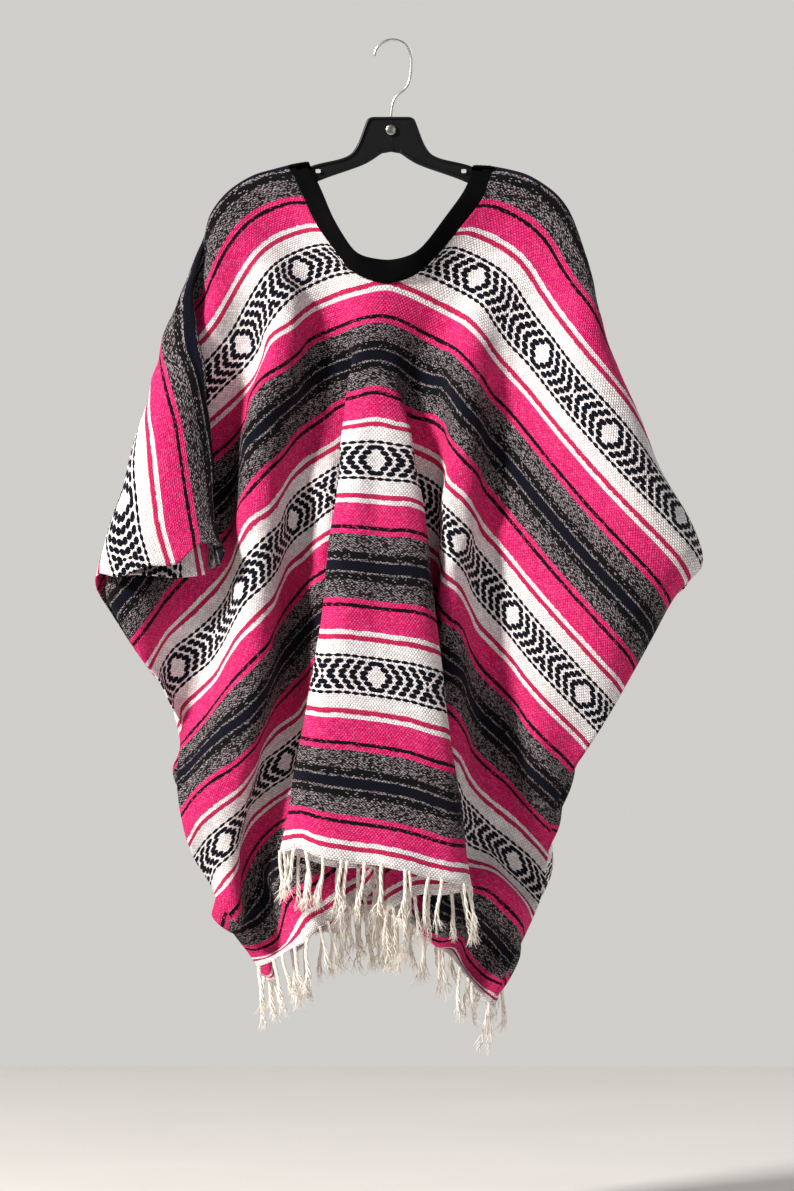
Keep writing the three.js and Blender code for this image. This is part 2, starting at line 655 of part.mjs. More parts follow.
/** Depth of a point beside an arm, moved out so that a wall of the given thickness clears it. */
function depthOffArm([x, y, z], side, wall) {
  const top = crestHeight(ARM_LINE, Math.abs(x) - ARM_CLEARANCE.end);
  const beside = top !== null && z < top + HANGER.seat && z > top - HANGER.armDepth - ARM_CLEARANCE.below;
  const least = HANGER.thickness / 2 + wall / 2 + ARM_CLEARANCE.side;
  return beside ? side * Math.max(side * y, least) : y;
}

/** Keep the cloth beside the arms clear of them. */
function keepOffArms(points, flat) {
  flat.forEach(([, along], v) => {
    if (along === 0) return;
    const point = points.subarray(3 * v, 3 * v + 3);
    points[3 * v + 1] = depthOffArm(point, -Math.sign(along), CLOTH.wall);
  });
}

/** Keep the front in front, the back behind, and the outer cloth on its own side. */
function keepSides(points, flat) {
  flat.forEach(([across, along], v) => {
    if (Math.abs(along) > 330 && Math.abs(across) > 110) {
      if (across > 0) points[3 * v] = Math.max(points[3 * v], MIDDLE_X.right);
      else points[3 * v] = Math.min(points[3 * v], MIDDLE_X.left);
    }
    const wing = Math.max(Math.abs(across) - 180, 0) / 420;
    const free = across < 0 ? ROOF.along + 210 * wing : ROOF.along + 96 * wing;
    const frontFree = across < 0 ? ROOF.along : free;
    if (along >= frontFree) points[3 * v + 1] = Math.min(points[3 * v + 1], -SIDE_GAP);
    else if (along > 0 && across < 0) points[3 * v + 1] = Math.min(points[3 * v + 1], 0);
    else if (along <= -free) points[3 * v + 1] = Math.max(points[3 * v + 1], SIDE_GAP);
  });
}

/** Pull a spring towards its rest length, with more slack when it is pressed. */
function pullSpring(points, { a, b, rest, slack, bend, pressSlack }) {
  const dx = points[3 * b] - points[3 * a];
  const dy = points[3 * b + 1] - points[3 * a + 1];
  const dz = points[3 * b + 2] - points[3 * a + 2];
  const length = Math.sqrt(dx * dx + dy * dy + dz * dz);
  if (bend && length > rest) return;
  const give = length < rest && !bend ? slack + pressSlack : slack;
  const k = (0.5 * (length - rest)) / ((1 + give) * length);
  points[3 * a] += k * dx;
  points[3 * a + 1] += k * dy;
  points[3 * a + 2] += k * dz;
  points[3 * b] -= k * dx;
  points[3 * b + 1] -= k * dy;
  points[3 * b + 2] -= k * dz;
}

/** Hang the flat cloth: fill between the folds, then relax it back to its woven size. */
function hangCloth(cloth) {
  const { flat, triangles } = cloth;
  const layers = flat.map(layerOf);
  const triangleLayers = triangles.map(({ corners }) => (
    corners.reduce((sum, v) => sum + layers[v], 0) / 3
  ));
  const springs = clothSprings(cloth, layers);
  const neighbours = clothNeighbours(cloth);
  const holds = foldHolds(cloth);
  const points = new Float64Array(3 * flat.length);
  flat.forEach(([across, along], v) => {
    const guess = [across / 2, -Math.sign(along) * 30, -160 - 0.9 * Math.abs(along) - 0.4 * Math.abs(across)];
    points.set(guess, 3 * v);
  });
  for (let step = 0; step < RELAX.fillSteps; step += 1) {
    smooth(points, neighbours, 0.7, 1);
    applyHolds(points, holds, (hold) => Math.max(hold, 0.3));
  }
  const before = points.slice();
  for (let step = 0; step < RELAX.steps; step += 1) {
    for (let n = 0; n < points.length; n += 1) {
      const now = points[n];
      points[n] += (now - before[n]) * RELAX.damping - (n % 3 === 2 ? RELAX.gravity : 0);
      before[n] = now;
    }
    for (let sweep = 0; sweep < RELAX.sweeps; sweep += 1) {
      for (const spring of springs) pullSpring(points, spring);
      smooth(points, neighbours, RELAX.smoothing, 4);
      ironSelvedge(points, cloth, RELAX.selvedgeSmoothing);
      applyHolds(points, holds, (hold) => hold * RELAX.holdStrength);
      const touch = sweep === 0 && step > RELAX.contactFrom && step % RELAX.contactEvery === 0;
      if (touch) separateLayers(points, cloth, layers, triangleLayers);
      keepSides(points, flat);
      keepOffArms(points, flat);
    }
  }
  return points;
}

// ---------------------------------------------------------------- solids

const DOWN = new THREE.Vector3(0, 0, -1);

/** Rotate a list so that each item is paired with the next, all the way round. */
function ringPairs(items) {
  return items.map((item, index) => [item, items[(index + 1) % items.length]]);
}

/** Geometry from a list of corner points and triangles. */
function geometryOf(corners, faces) {
  const geometry = new THREE.BufferGeometry();
  const flatCorners = corners.flatMap((corner) => corner.toArray());
  geometry.setAttribute('position', new THREE.Float32BufferAttribute(flatCorners, 3));
  geometry.setIndex(faces.flat());
  geometry.computeVertexNormals();
  return geometry;
}

/** Closed wall between an outer and an inner skin, joined along every free edge of the faces. */
function wallBetween(outer, inner, faces) {
  const count = outer.length;
  const all = [];
  const edges = new Map();
  for (const [a, b, c] of faces) {
    all.push([a, b, c], [a + count, c + count, b + count]);
    for (const [from, to] of ringPairs([a, b, c])) edges.set(`${from},${to}`, [from, to]);
  }
  for (const [from, to] of edges.values()) {
    if (edges.has(`${to},${from}`)) continue;
    all.push([to, from, from + count], [to, from + count, to + count]);
  }
  return geometryOf([...outer, ...inner], all);
}

/** The hung cloth as vectors, with the outward normal at each point. */
function surfaceOf(cloth, points) {
  const place = cloth.flat.map((_, v) => new THREE.Vector3().fromArray(points, 3 * v));
  const normal = cloth.flat.map(() => new THREE.Vector3());
  for (const { corners: [a, b, c] } of cloth.triangles) {
    const side = place[b].clone().sub(place[a]);
    const face = side.cross(place[c].clone().sub(place[a]));
    for (const v of [a, b, c]) normal[v].add(face);
  }
  normal.forEach((direction) => direction.normalize());
  return { place, normal };
}

/** Solid of a closed geometry. */
function solidOf(geometry) {
  const plain = geometry.clone();
  for (const name of ['normal', 'uv']) plain.deleteAttribute(name);
  const merged = mergeVertices(plain, 1e-4);
  const vertProperties = Float32Array.from(merged.attributes.position.array);
  const triVerts = Uint32Array.from(merged.index.array);
  return new manifold.Manifold(new manifold.Mesh({ numProp: 3, vertProperties, triVerts }));
}

/** Geometry cut back from the solids of its neighbours; crumbs of the cut are left out. */
function cutBack(geometry, neighbours) {
  const cut = neighbours.reduce((solid, neighbour) => solid.subtract(neighbour), solidOf(geometry));
  const bodies = cut.decompose().sort((a, b) => b.volume() - a.volume());
  const { vertProperties, triVerts } = bodies[0].getMesh();
  const result = new THREE.BufferGeometry();
  result.setAttribute('position', new THREE.BufferAttribute(vertProperties, 3));
  result.setIndex(Array.from(triVerts));
  result.computeVertexNormals();
  return result;
}

/** One panel of the cloth, front or back, stopping short of the shoulder line by half a gap. */
function panelGeometry(cloth, surface, panel, grow = 0) {
  const faces = cloth.triangles.filter((face) => face.panel === panel).map((face) => face.corners);
  const used = [...new Set(faces.flat())];
  const index = new Map(used.map((v, n) => [v, n]));
  const seamRow = cloth.rows.indexOf(0);
  const shift = new Map(cloth.ids[seamRow].map((v, i) => {
    const [ahead, behind] = [cloth.ids[seamRow - 1][i], cloth.ids[seamRow + 1][i]];
    const forward = surface.place[ahead].clone().sub(surface.place[behind]);
    return [v, forward.setLength(panel === 'front' ? SEAM_GAP / 2 : -SEAM_GAP / 2)];
  }));
  const skin = (offset) => used.map((v) => {
    const point = surface.place[v].clone().addScaledVector(surface.normal[v], offset);
    return shift.has(v) ? point.add(shift.get(v)) : point;
  });
  const local = faces.map((corners) => corners.map((v) => index.get(v)));
  const half = CLOTH.wall / 2 + grow;
  return wallBetween(skin(half), skin(-half), local);
}

/** Cloth points round the neck opening: down the right side of the front, round, and back. */
function neckRing(cloth) {
  const { rows, ids, middle } = cloth;
  const open = rows.map((along, j) => j).filter((j) => Math.abs(rows[j]) < NECK.depth);
  const front = ids[open[0] - 1][middle];
  const back = ids[open[open.length - 1] + 1][middle];
  const right = open.map((j) => ids[j][middle + 1]);
  const left = open.map((j) => ids[j][middle]).reverse();
  return [front, ...right, back, ...left];
}

/** The band sewn round the neck, edge to edge with the cloth and lying inside the opening. */
function trimGeometry(cloth, surface, grow = 0) {
  const ring = neckRing(cloth);
  const centre = new THREE.Vector3(0, 0, NECK.centreZ);
  const widths = [SEAM_GAP - grow, SEAM_GAP + TRIM.width / 2, SEAM_GAP + TRIM.width + grow];
  const rows = ring.map((v, index) => {
    const before = surface.place[ring.at(index - 1)];
    const after = surface.place[ring[(index + 1) % ring.length]];
    const inward = after.clone().sub(before).cross(surface.normal[v]).normalize();
    if (inward.dot(centre.clone().sub(surface.place[v])) < 0) inward.negate();
    return widths.map((width) => {
      const point = surface.place[v].clone().addScaledVector(inward, width);
      const side = -Math.sign(cloth.flat[v][1]);
      if (side !== 0) point.setY(depthOffArm(point.toArray(), side, TRIM.wall));
      return { point, normal: surface.normal[v] };
    });
  });
  const faces = [];
  const columns = widths.length;
  for (let k = 0; k < rows.length; k += 1) {
    const next = (k + 1) % rows.length;
    for (let i = 0; i + 1 < columns; i += 1) {
      const [a, b] = [k * columns + i, k * columns + i + 1];
      const [c, d] = [next * columns + i, next * columns + i + 1];
      faces.push([a, c, b], [b, c, d]);
    }
  }
  const skin = (offset) => rows.flat().map(({ point, normal }) => (
    point.clone().addScaledVector(normal, offset)
  ));
  const half = TRIM.wall / 2 + grow;
  return wallBetween(skin(half), skin(-half), faces);
}

/** Reach of the knotted fringe below one hem. */
function fringeGeometry(cloth, surface, panel) {
  const row = panel === 'front' ? cloth.ids[0] : cloth.ids.at(-1);
  const hem = row.filter((v, i) => v !== row[i - 1]);
  const across = panel === 'front' ? hem : hem.slice().reverse();
  const drops = [FRINGE.gap, FRINGE.length];
  const skin = (offset) => drops.flatMap((drop, level) => across.map((v, i) => {
    const point = surface.place[v].clone().addScaledVector(surface.normal[v], offset);
    const before = surface.place[across[Math.max(i - 1, 0)]];
    const after = surface.place[across[Math.min(i + 1, across.length - 1)]];
    const away = after.clone().sub(before).cross(surface.normal[v]).normalize();
    if (level > 0) away.addScaledVector(DOWN, FRINGE.hang).normalize();
    return point.addScaledVector(away, drop);
  }));
  const faces = [];
  for (let i = 0; i + 1 < across.length; i += 1) {
    const [a, b] = [i, i + 1];
    const [c, d] = [a + across.length, b + across.length];
    faces.push([a, c, b], [b, c, d]);
  }
  return wallBetween(skin(FRINGE.wall / 2), skin(-FRINGE.wall / 2), faces);
}

/** Right half of the hanger's outline, from the top of the hub round the arm to the arch. */
function hangerHalf() {
  const crest = armCrest();
  const tip = crest.at(-1);
  const under = crest.slice(0, -1).reverse().map(({ x, y }) => new THREE.Vector2(x, y - HANGER.armDepth));
  return {
    top: ARM_LINE,
    tip: [new THREE.Vector2(tip.x - 3, tip.y - 9), new THREE.Vector2(tip.x - 12, tip.y - 9)],
    under: [...under, ...ARCH.map(({ x, z }) => new THREE.Vector2(x, z))],
  };
}

/** The moulded body of the hanger, in one piece. */
function hangerGeometry() {
  const { top, tip, under } = hangerHalf();
  const smoothTop = new THREE.SplineCurve(top.slice(1)).getPoints(28);
  const smoothUnder = new THREE.SplineCurve(under).getPoints(22);
  const right = [top[0], ...smoothTop, ...tip, ...smoothUnder];
  const left = right.map((point) => new THREE.Vector2(-point.x, point.y)).reverse();
  const outline = new THREE.Shape([...right, new THREE.Vector2(0, HANGER.archZ), ...left]);
  const body = new THREE.ExtrudeGeometry(outline, {
    depth: HANGER.thickness - 2 * HANGER.edgeRound,
    bevelThickness: HANGER.edgeRound,
    bevelSize: HANGER.edgeRound,
    bevelOffset: -HANGER.edgeRound,
    bevelSegments: 2,
  });
  body.translate(0, 0, -(HANGER.thickness - 2 * HANGER.edgeRound) / 2);
  return body;
}

/** The steel hook, from its tip over the rail and down to the hub. */
function hookGeometry() {
  const middle = new THREE.Vector3(HOOK.offset, 0, HOOK.wire / 2 - HOOK.bend);
  const onBend = (degrees) => {
    const angle = THREE.MathUtils.degToRad(degrees);
    const reach = new THREE.Vector3(Math.cos(angle), 0, Math.sin(angle)).multiplyScalar(HOOK.bend);
    return reach.add(middle);
  };
  const turn = HOOK.leaveAngle - HOOK.tipAngle;
  const bendSteps = HOOK.steps / 2;
  const bend = Array.from({ length: bendSteps + 1 }, (_, k) => (
    onBend(HOOK.tipAngle + (turn * k) / bendSteps)
  ));
  const leave = bend.at(-1);
  const away = leave.clone().sub(bend.at(-2)).normalize();
  const foot = new THREE.Vector3(0, 0, HANGER.topZ + SEAM_GAP);
  const sweep = new THREE.CubicBezierCurve3(
    leave,
    leave.clone().addScaledVector(away, HOOK.sweep),
    foot.clone().setZ(foot.z + HOOK.shank),
    foot,
  );
  const path = new THREE.CatmullRomCurve3([...bend.slice(0, -1), ...sweep.getPoints(bendSteps / 2)]);
  const corner = (_, k) => new THREE.Vector2(HOOK.wire / 2, 0).rotateAround(
    new THREE.Vector2(),
    (2 * Math.PI * k) / HOOK.sides,
  );
  const section = new THREE.Shape(Array.from({ length: HOOK.sides }, corner));
  return new THREE.ExtrudeGeometry(section, { steps: HOOK.steps, bevelEnabled: false, extrudePath: path });
}

/** Domed rivet head on the front of the hub, as a turned solid. */
function studGeometry() {
  const profile = [
    new THREE.Vector2(0, 0),
    new THREE.Vector2(STUD.radius, 0),
    new THREE.Vector2(STUD.radius, STUD.height - 2 * STUD.edge),
    new THREE.Vector2(STUD.radius - STUD.edge, STUD.height - STUD.edge / 2),
    new THREE.Vector2(STUD.radius / 2, STUD.height),
    new THREE.Vector2(0, STUD.height),
  ];
  return new THREE.LatheGeometry(profile, 24);
}

/** Small steel clip let into the front of an arm. */
function clipGeometry() {
  const [w, h, r] = [CLIP.width / 2, CLIP.height / 2, CLIP.corner];
  const outline = new THREE.Shape();
  outline.moveTo(-w + r, -h);
  outline.lineTo(w - r, -h);
  outline.absarc(w - r, -h + r, r, -Math.PI / 2, 0);
  outline.absarc(w - r, h - r, r, 0, Math.PI / 2);
  outline.absarc(-w + r, h - r, r, Math.PI / 2, Math.PI);
  outline.absarc(-w + r, -h + r, r, Math.PI, 1.5 * Math.PI);
  return new THREE.ExtrudeGeometry(outline, { depth: CLIP.depth, bevelEnabled: false, curveSegments: 3 });
}

// ---------------------------------------------------------------- the part

const FINISH = {
  cloth: () => new THREE.MeshStandardMaterial({ color: '#e02e63', roughness: 0.92, metalness: 0 }),
  band: () => new THREE.MeshStandardMaterial({ color: '#0c0c10', roughness: 0.85, metalness: 0 }),
  yarn: () => new THREE.MeshStandardMaterial({ color: '#e1d7c3', roughness: 0.95, metalness: 0 }),
  plastic: () => new THREE.MeshStandardMaterial({ color: '#141416', roughness: 0.45, metalness: 0 }),
  steel: () => new THREE.MeshStandardMaterial({ color: '#c9c9c6', roughness: 0.25, metalness: 1 }),
};

/** A named mesh of one piece. */
function piece(name, geometry, material) {
  const mesh = new THREE.Mesh(geometry, material);
  mesh.name = name;
  return mesh;
}

/** The poncho: two panels, the neck band and the fringe of both hems. */
function poncho(cloth, surface, grown) {
  const group = new THREE.Group();
  const { front, back } = grown;
  const frontPanel = panelGeometry(cloth, surface, 'front');
  const backPanel = cutBack(panelGeometry(cloth, surface, 'back'), [front]);
  const band = cutBack(trimGeometry(cloth, surface), [front, back]);
  group.add(piece('front_panel', frontPanel, FINISH.cloth()));
  group.add(piece('back_panel', backPanel, FINISH.cloth()));
  group.add(piece('neck_band', band, FINISH.band()));
  for (const panel of ['front', 'back']) {
    const fringe = cutBack(fringeGeometry(cloth, surface, panel), [front, back]);
    group.add(piece(`${panel}_fringe`, fringe, FINISH.yarn()));
  }
  return group;
}

/** The hanger: moulded body, hook, rivet and the two arm clips. */
function hanger(grown) {
  const group = new THREE.Group();
  const upright = Math.PI / 2;
  const moulding = hangerGeometry().rotateX(upright);
  const body = piece('hanger_body', cutBack(moulding, Object.values(grown)), FINISH.plastic());
  const stud = piece('hub_rivet', studGeometry(), FINISH.steel());
  const face = -HANGER.thickness / 2 - SEAM_GAP;
  stud.rotation.x = Math.PI;
  stud.position.set(0, face, STUD.z);
  group.add(body, stud, piece('hook', hookGeometry(), FINISH.steel()));
  for (const [side, sign] of [['left', -1], ['right', 1]]) {
    const clip = piece(`arm_clip_${side}`, clipGeometry(), FINISH.steel());
    clip.rotation.x = upright;
    clip.position.set(sign * CLIP.x, face, CLIP.z);
    group.add(clip);
  }
  return group;
}

/** The poncho on its hanger, each piece cut back where a softer one would press into it. */
function ponchoOnHanger() {
  const cloth = flatCloth();
  const surface = surfaceOf(cloth, hangCloth(cloth));
  const grown = {
    front: solidOf(panelGeometry(cloth, surface, 'front', SEAM_GAP)),
    back: solidOf(panelGeometry(cloth, surface, 'back', SEAM_GAP)),
    band: solidOf(trimGeometry(cloth, surface, SEAM_GAP)),
  };
  const whole = new THREE.Group();
  whole.add(poncho(cloth, surface, grown), hanger(grown));
  return whole;
}

const part = ponchoOnHanger();

export default part;
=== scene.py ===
"""Poncho on its hanger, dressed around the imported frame.

Lengths are metres and the place of every piece is in its mesh. The cloth is addressed by where a point lies
on the flat woven length: across from its middle and along from the shoulder line, both in millimetres.
"""

import json
import logging
import math
from collections.abc import Sequence
from dataclasses import dataclass, field
from enum import Enum
from functools import partialmethod

import bmesh
import bpy
import numpy as np
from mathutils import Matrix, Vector

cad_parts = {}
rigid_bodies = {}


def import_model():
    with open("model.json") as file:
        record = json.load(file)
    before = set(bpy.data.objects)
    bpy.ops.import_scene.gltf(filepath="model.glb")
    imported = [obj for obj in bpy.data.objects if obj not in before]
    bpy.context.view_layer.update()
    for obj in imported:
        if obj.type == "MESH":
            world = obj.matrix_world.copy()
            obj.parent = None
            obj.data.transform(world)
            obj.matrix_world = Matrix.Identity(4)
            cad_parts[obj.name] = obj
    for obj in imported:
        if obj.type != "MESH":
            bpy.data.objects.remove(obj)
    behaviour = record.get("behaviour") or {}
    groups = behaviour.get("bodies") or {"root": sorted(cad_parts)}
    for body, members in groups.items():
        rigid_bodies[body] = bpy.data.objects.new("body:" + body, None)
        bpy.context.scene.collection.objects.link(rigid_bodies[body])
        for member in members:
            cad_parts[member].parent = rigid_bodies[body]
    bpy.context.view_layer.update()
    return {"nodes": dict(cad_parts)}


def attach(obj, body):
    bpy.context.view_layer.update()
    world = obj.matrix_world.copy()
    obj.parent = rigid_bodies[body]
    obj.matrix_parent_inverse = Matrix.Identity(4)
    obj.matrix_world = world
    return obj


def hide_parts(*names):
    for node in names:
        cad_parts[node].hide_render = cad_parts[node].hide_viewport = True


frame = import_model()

MM = 0.001
X, Y, Z = np.eye(3)
LOG = logging.getLogger("poncho")

Points = np.ndarray
Face = tuple[int, ...]
Colour = tuple[float, float, float, float]
Pair = tuple[float, float]
Object = bpy.types.Object
Material = bpy.types.Material
Socket = bpy.types.NodeSocket
Tree = bpy.types.NodeTree


# ---------------- nodes


def linear(hex_colour: str) -> Colour:
    """Turn an sRGB hex colour into linear values.

    Args:
        hex_colour: six hex digits with a leading hash.

    Returns:
        Linear red, green, blue and an alpha of 1.
    """
    parts = [int(hex_colour[i : i + 2], 16) / 255 for i in (1, 3, 5)]
    done = [c / 12.92 if c <= 0.04045 else ((c + 0.055) / 1.055) ** 2.4 for c in parts]
    return (done[0], done[1], done[2], 1.0)


def add(tree: Tree, kind: str, given: dict | None = None) -> bpy.types.Node:
    """Add a node with its settings and links.

    Args:
        tree: the tree that gets the node.
        kind: the node's type name.
        given: property names or socket keys (int or str), each with its value or the socket that feeds it.

    Returns:
        The new node.
    """
    node = tree.nodes.new(kind)
    for key, value in (given or {}).items():
        source = value.socket if isinstance(value, Number) else value
        if isinstance(source, Socket):
            tree.links.new(source, node.inputs[key])
        elif isinstance(key, str) and hasattr(node, key):
            setattr(node, key, value)
        else:
            node.inputs[key].default_value = value
    return node


def maths(tree: Tree, operation: str, *terms: "float | Number") -> "Number":
    """Combine up to three numbers with one Math node."""
    node = add(tree, "ShaderNodeMath", {"operation": operation, **dict(enumerate(terms))})
    return Number(tree, node.outputs[0])


@dataclass(frozen=True, eq=False)
class Number:
    """A number that a material works out at each point, to be combined with the usual signs."""

    tree: Tree
    socket: Socket

    def then(self, operation: str, *terms: "float | Number") -> "Number":
        """Put a Math node after this number."""
        return maths(self.tree, operation, self, *terms)

    def __rsub__(self, other: float) -> "Number":
        """Take this number from a plain one."""
        return maths(self.tree, "SUBTRACT", other, self)

    __add__ = partialmethod(then, "ADD")
    __sub__ = partialmethod(then, "SUBTRACT")
    __mul__ = partialmethod(then, "MULTIPLY")
    __truediv__ = partialmethod(then, "DIVIDE")
    __mod__ = partialmethod(then, "FLOORED_MODULO")
    __pow__ = partialmethod(then, "POWER")
    __abs__ = partialmethod(then, "ABSOLUTE")
    __lt__ = partialmethod(then, "LESS_THAN")
    __gt__ = partialmethod(then, "GREATER_THAN")
    floor = partialmethod(then, "FLOOR")
    fract = partialmethod(then, "FRACT")
    at_least = partialmethod(then, "MAXIMUM")
    times_plus = partialmethod(then, "MULTIPLY_ADD")


def hashed(column: Number, row: Number) -> Number:
    """Draw a random number for each cell of a grid.

    Args:
        column: the cell's column.
        row: the cell's row.

    Returns:
        A number from 0 to 1.
    """
    key = add(column.tree, "ShaderNodeCombineXYZ", {0: column, 1: row})
    noise = add(column.tree, "ShaderNodeTexWhiteNoise", {"noise_dimensions": "2D", 0: key.outputs[0]})
    return Number(column.tree, noise.outputs[0])


def mix(factor: Number, a: Socket, b: Socket | Colour) -> Socket:
    """Mix colour a with colour b, whose share is the factor."""
    return add(factor.tree, "ShaderNodeMix", {"data_type": "RGBA", 0: factor, 6: a, 7: b}).outputs[2]


def empty_material(name: str) -> Material:
    """Make a material whose tree has no nodes yet.

    Args:
        name: the material's name.

    Returns:
        The material.
    """
    material = bpy.data.materials.new(name)
    material.use_nodes = True
    material.node_tree.nodes.clear()
    return material


# ---------------- meshes


def put_in_scene(name: str, data: bpy.types.ID) -> Object:
    """Make an object of some data.

    Args:
        name: the object's name.
        data: its mesh, light or camera.

    Returns:
        The object, at the origin.
    """
    item = bpy.data.objects.new(name, data)
    bpy.context.scene.collection.objects.link(item)
    return item


def mesh_piece(name: str, points: Points, faces: list[Face]) -> Object:
    """Make a smooth shaded object from points and faces.

    Args:
        name: the piece's name.
        points: corner points in metres.
        faces: corner indices of each face.

    Returns:
        The new object, at the origin.
    """
    mesh = bpy.data.meshes.new(name)
    mesh.from_pydata([tuple(p) for p in points], [], faces)
    mesh.validate()
    mesh.polygons.foreach_set("use_smooth", [True] * len(mesh.polygons))
    mesh.update()
    return put_in_scene(name, mesh)


def face_out(piece: Object, split: bool = False) -> None:
    """Have Blender turn a closed mesh's faces outwards.

    Args:
        piece: the object of the mesh.
        split: whether faces with more than four corners are cut into triangles first.
    """
    mesh = bmesh.new()
    mesh.from_mesh(piece.data)
    if split:
        bmesh.ops.triangulate(mesh, faces=[f for f in mesh.faces if len(f.verts) > 4])
    bmesh.ops.recalc_face_normals(mesh, faces=mesh.faces)
    mesh.to_mesh(piece.data)
    mesh.free()


def unit(vectors: Points) -> Points:
    """Scale vectors to a length of 1."""
    return vectors / np.linalg.norm(vectors, axis=-1, keepdims=True)


def sideways(run: Points) -> Points:
    """Turn directions in a plane by a quarter, to their right."""
    return np.stack([run[:, 1], -run[:, 0]], axis=1)


def circle(centre: Points, right: Points, up: Points, radius: float, sides: int) -> Points:
    """Points of a ring round a centre, in the plane of two directions."""
    angle = 2 * np.pi * np.arange(sides)[:, None] / sides
    return centre + (right * np.cos(angle) + up * np.sin(angle)) * radius


def between(four: Points, t: float) -> Points:
    """Point at a share t of the way from the second to the third of four points, on a Catmull-Rom curve."""
    p0, p1, p2, p3 = four
    return 0.5 * (
        2 * p1
        + (p2 - p0) * t
        + (2 * p0 - 5 * p1 + 4 * p2 - p3) * t**2
        + (3 * p1 - p0 - 3 * p2 + p3) * t**3
    )


@dataclass
class Lofts:
    """Points, in millimetres, and faces of the lofts that make up one mesh."""

    points: list[Points] = field(default_factory=list)
    faces: list[Face] = field(default_factory=list)

    def join(self, rings: Sequence[Points], closed: bool = False, turned: bool = False) -> tuple[Face, Face]:
        """Join rings of points by quads.

        Args:
            rings: the rings, each with the same number of points.
            closed: whether the last ring is joined to the first.
            turned: whether the quads face the other way.

        Returns:
            The first and the last ring, as faces that can close the ends.
        """
        start, sides, count = len(self.points), len(rings[0]), len(rings)
        for ring in rings:
            self.points += list(ring)
        for r in range(count if closed else count - 1):
            here, there = start + r * sides, start + (r + 1) % count * sides
            for k in range(sides):
                n = (k + 1) % sides
                quad = (here + k, here + n, there + n, there + k)
                self.faces.append((quad[0], *quad[:0:-1]) if turned else quad)
        last = start + (count - 1) * sides
        return tuple(range(start, start + sides)), tuple(range(last, last + sides))

    def piece(self, name: str) -> Object:
        """Make the object."""
        return mesh_piece(name, np.array(self.points) * MM, self.faces)


def dress(
    piece: Object, material: Material, stands_for: tuple[str, ...] = ()
) -> None:
    """Give a finished piece its material and its place on the body.

    Args:
        piece: the finished object.
        material: what it is made of.
        stands_for: names of the frame's nodes that it stands for.
    """
    piece.data.materials.clear()
    piece.data.materials.append(material)
    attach(piece, "root")
    if stands_for:
        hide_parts(*stands_for)
    LOG.info("%s: %d faces", piece.name, len(piece.data.polygons))


# ---------------- the cloth's shape


@dataclass
class FlatCut:
    """The woven length as it is cut, in millimetres, with the rows and columns of the frame's mesh."""

    half_width: float = 600.0
    half_length: float = 862.0
    neck_half_width: float = 46.0
    neck_depth: float = 172.0
    neck_squareness: float = 1.6
    neck_roundness: float = 1.35
    along_stops: tuple[int, ...] = (
        0, 12, 40, 75, 110, 145, 172, 208, 246, 284, 322, 360, 398,
        436, 474, 512, 550, 588, 626, 664, 702, 740, 778, 820, 862,
    )
    across_stops: tuple[int, ...] = (
        0, 22, 45, 70, 95, 122, 152, 184, 216, 248, 280,
        312, 345, 378, 411, 444, 477, 510, 542, 573, 600,
    )

    def rows(self) -> list[float]:
        """Distances along the cloth of the mesh rows, from the front hem to the back hem."""
        return [float(s) for s in self.along_stops[::-1]] + [-float(s) for s in self.along_stops[1:]]

    def neck_edge(self, along: float) -> float:
        """Half width of the neck opening at a distance along the cloth."""
        reach = min(abs(along) / self.neck_depth, 1.0)
        return self.neck_half_width * (1 - reach**self.neck_squareness) ** (1 / self.neck_roundness)

    def across(self, along: float, stop: float) -> float:
        """Distance from the middle of a column stop, which gives way to the neck opening."""
        edge = self.neck_edge(along)
        return edge + (self.half_width - edge) * stop / self.half_width


